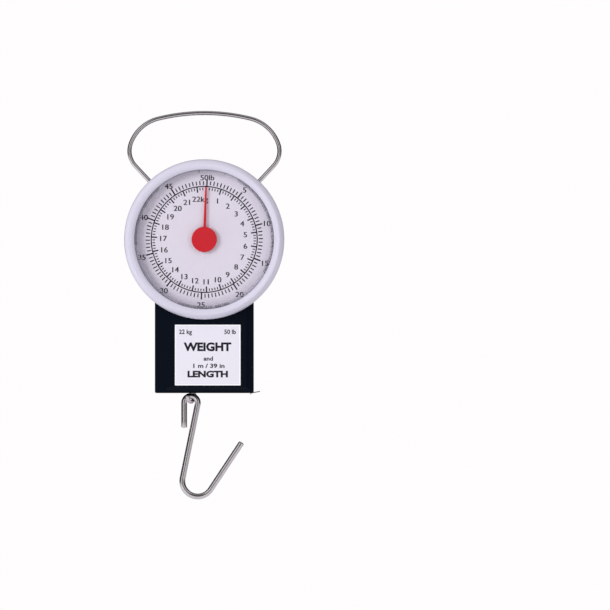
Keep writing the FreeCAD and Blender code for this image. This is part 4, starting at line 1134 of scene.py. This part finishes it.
@dataclass
class PullTape:
    """Straight part of the tape: it leaves the wound tape and ends in the metal tab."""
    material: Material
    columns: int = 241
    across: int = 9
    tab_reach: float = 5.6

    def build(self) -> Object:
        """A closed flat strip the length of the packed blade."""
        low, high = node_box("tape_blade")
        x = np.linspace(low[0], high[0], self.columns)[:, None]
        y = (low[1] + high[1]) / 2 + np.linspace(-1, 1, self.across) * (high[1] - low[1]) / 2
        ys = np.concatenate([y, y[::-1]])[None, :]
        zs = np.repeat([high[2], low[2]], self.across)[None, :]
        grid = np.stack([x + 0 * ys, ys + 0 * x, zs + 0 * x], axis=-1)
        piece = piece_of("tape_strip", [Skin(grid[:, ::-1], caps=True, along=x[:, 0])], smooth=False)
        piece.data.materials.append(self.material)
        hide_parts("tape_blade")
        z = (high[2] + MIDDLE[2]) * MM
        mid = (low[1] + high[1]) / 2 * MM
        grip = high[0] - self.tab_reach
        (grip + MIDDLE[0]) * MM
        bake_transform(piece)
        LOG.info("%s: runs out between case and tape", piece.name)
        return piece


# ---- Finishes of the frame's own nodes ----

@dataclass
class FrameDress:
    """Gives each CAD node that stays in sight the finish of its slot."""
    finishes: dict[str, Material]

    def build(self) -> None:
        """Dresses the nodes by the record's table."""
        slots = {row["node"]: row["material_slot"] for row in frame["record"]["subparts"]}
        for node, piece in frame["nodes"].items():
            dress(piece, self.finishes[slots[node]])
            LOG.info("%s: %s", node, slots[node])


# ---- Studio ----

@dataclass
class Studio:
    """White room: bright all round for the eye, and softer with dark cards for what metal mirrors."""
    floor_drop: float = 390.0
    floor_r: float = 2500.0
    distance: float = 6000.0
    view_width: float = 366.0
    view_middle: tuple[float, float, float] = (60.4, -8.0, -39.3)
    room_light: float = 0.72
    left_box: float = 0.97
    right_box: float = 0.72
    ground_light: float = 0.16
    ceiling_light: float = 0.3
    back_light: float = 0.04
    dark_light: float = 0.05
    sensor: float = 36.0
    far_clip: float = 50.0

    def world(self) -> None:
        """Room light: white to the eye, even for matt surfaces; metal mirrors two tall soft boxes.

        The boxes stand left and right of the camera, with a dark gap between them; above and behind is dim.
        """
        world = bpy.data.worlds.new("white_room")
        nodes = NodeTree(world)
        x, y, z = nodes.split(nodes.node("TexCoord").outputs["Generated"])
        across, height = x.math("ABSOLUTE"), z.math("ABSOLUTE")
        box = across.band(0.5, 0.34, 0.18) * y.below(-0.3, 0.2) * height.below(0.72, 0.2)
        box_light = x.below(0.0, 0.1) * (self.left_box - self.right_box) + self.right_box
        ground, ceiling = z.below(-0.5, 0.4) * self.ground_light, z.above(0.8, 0.2) * self.ceiling_light
        behind = y.above(0.55, 0.5) * self.back_light
        mirrored = box * box_light + ground + ceiling + behind + self.dark_light
        rays = nodes.node("LightPath").outputs
        seen, glossy = Num(nodes, rays["Is Camera Ray"]), Num(nodes, rays["Is Glossy Ray"])
        strength = seen + (1.0 - seen) * (glossy * mirrored + (1.0 - glossy) * self.room_light)
        back = nodes.node("Background", {}, {"Color": (1.0, 0.985, 0.99, 1.0), "Strength": strength})
        nodes.node("OutputWorld", {}, {"Surface": back.outputs[0]})
        bpy.context.scene.world = world

    def floor(self) -> None:
        """A plain pale round floor, well below the hanging scale."""
        a = np.linspace(0, 2 * np.pi, 96, endpoint=False)
        rim = np.stack([np.cos(a) * self.floor_r, np.sin(a) * self.floor_r, 0 * a - self.floor_drop], axis=1)
        floor = linked("floor", (rim + MIDDLE) * MM, [list(range(len(a)))])
        s = Shader("pale_floor")
        cloud = s.noise(s.place(), 0.01, 3.0)
        floor.data.materials.append(s.finish(s.mix(cloud, (0.82, 0.82, 0.83), (0.78, 0.78, 0.8)), 0.7))

    def lamp(self, name: str, place: Sequence[float], size: tuple[float, float], watts: float) -> None:
        """One soft lamp that looks at the middle of the dial; metal mirrors only the room's boxes.

        Args:
            name: its name.
            place: where it stands, in millimetres from the middle of the dial.
            size: width and height in metres.
            watts: its power.
        """
        light = bpy.data.lights.new(name, "AREA")
        light.shape, light.size, light.size_y = "RECTANGLE", *size
        light.energy = watts
        lamp = bpy.data.objects.new(name, light)
        spot = Vector((np.array(place) + MIDDLE) * MM)
        lamp.location = spot
        lamp.visible_glossy = False
        lamp.rotation_euler = (Vector(MIDDLE * MM) - spot).to_track_quat("-Z", "Y").to_euler()
        bpy.context.scene.collection.objects.link(lamp)

    def camera(self) -> None:
        """Long lens, level and straight on."""
        lens = bpy.data.cameras.new("camera")
        lens.sensor_width = self.sensor
        lens.lens = self.sensor * self.distance / self.view_width
        lens.clip_end = self.far_clip
        camera = bpy.data.objects.new("camera", lens)
        x, y, z = np.array(self.view_middle) + MIDDLE
        camera.location = Vector((x, y - self.distance, z)) * MM
        camera.rotation_euler = (np.pi / 2, 0.0, 0.0)
        bpy.context.scene.collection.objects.link(camera)
        bpy.context.scene.camera = camera

    def build(self) -> None:
        """Sets up the room, the lamps and the camera."""
        bpy.context.scene.view_settings.view_transform = "Standard"
        self.world()
        self.floor()
        self.lamp("key", place=(-900, -900, 300), size=(0.45, 0.6), watts=8.0)
        self.lamp("fill", place=(900, -800, 0), size=(0.3, 0.9), watts=1.5)
        self.camera()
        LOG.info("studio is set")


def finish_table() -> dict[str, Material]:
    """The finish of each slot of the record, under the slot's name."""
    dial_r, lens_r = (float(node_box(node)[1][0]) for node in ("dial_plate", "lens"))
    low, high = node_box("label")
    front, back = (float(corner[1]) for corner in node_box("tape_coil"))
    finishes = [
        MouldedPlastic("black_plastic", (0.0012, 0.003, 0.0078), (0.007, 0.011, 0.022), 0.36, shine=0.09),
        MouldedPlastic("white_plastic", (0.66, 0.64, 0.765), (0.6, 0.58, 0.7), 0.26, 1.2, 0.004, 0.3),
        ClearCup("clear_lens", lens_r - LensCup.flange, LensCup.wall),
        # the second colour is the painted shade round the dial's rim
        DialPaper("dial_face", (0.8, 0.765, 0.84), (0.5, 0.47, 0.56), dial_r),
        LabelCard("printed_label", (0.79, 0.77, 0.86), (0.93, 0.93, 0.96), low[::2], high[::2]),
        DrawnWire("chrome_wire", (0.8, 0.77, 0.8), (0.62, 0.56, 0.58)),
        SheetMetal("zinc_steel", (0.52, 0.53, 0.55), (0.3, 0.31, 0.33), 0.32),
        SheetMetal("spring_steel", (0.3, 0.3, 0.32), (0.16, 0.16, 0.18), 0.34),
        SheetMetal("brass", (0.72, 0.5, 0.2), (0.5, 0.32, 0.12), 0.3),
        MouldedPlastic("white_nylon", (0.72, 0.7, 0.64), (0.6, 0.57, 0.5), 0.45, 2.0, 0.01),
        MouldedPlastic("red_pointer", (0.68, 0.012, 0.022), (0.5, 0.01, 0.02), 0.32, 1.4, 0.006, 0.2),
        TapePrint("tape_strip", (0.78, 0.75, 0.62), (0.02, 0.02, 0.025), front, back),
        SheetMetal("bright_steel", (0.66, 0.66, 0.68), (0.45, 0.45, 0.47), 0.22),
    ]
    return {finish.name: finish.make() for finish in finishes}


def main() -> None:
    """Builds the pieces in order."""
    logging.basicConfig(level=logging.INFO, format="%(name)s: %(message)s")
    Studio().build()
    finishes = finish_table()
    ink = PrintedInk("dial_ink", (0.003, 0.003, 0.01), (0.015, 0.015, 0.03)).make()
    wire, spring = finishes["chrome_wire"], finishes["spring_steel"]
    for part in (FrameDress(finishes), CarryHandle(wire), LoadRod(wire), OpenHook(wire), MainSpring(spring),
                 BezelRing(finishes["white_plastic"]), LensCup(finishes["clear_lens"]), DialPrint(ink),
                 LabelPrint(ink), PullTape(finishes["tape_strip"])):
        part.build()


if __name__ == "__main__":
    main()
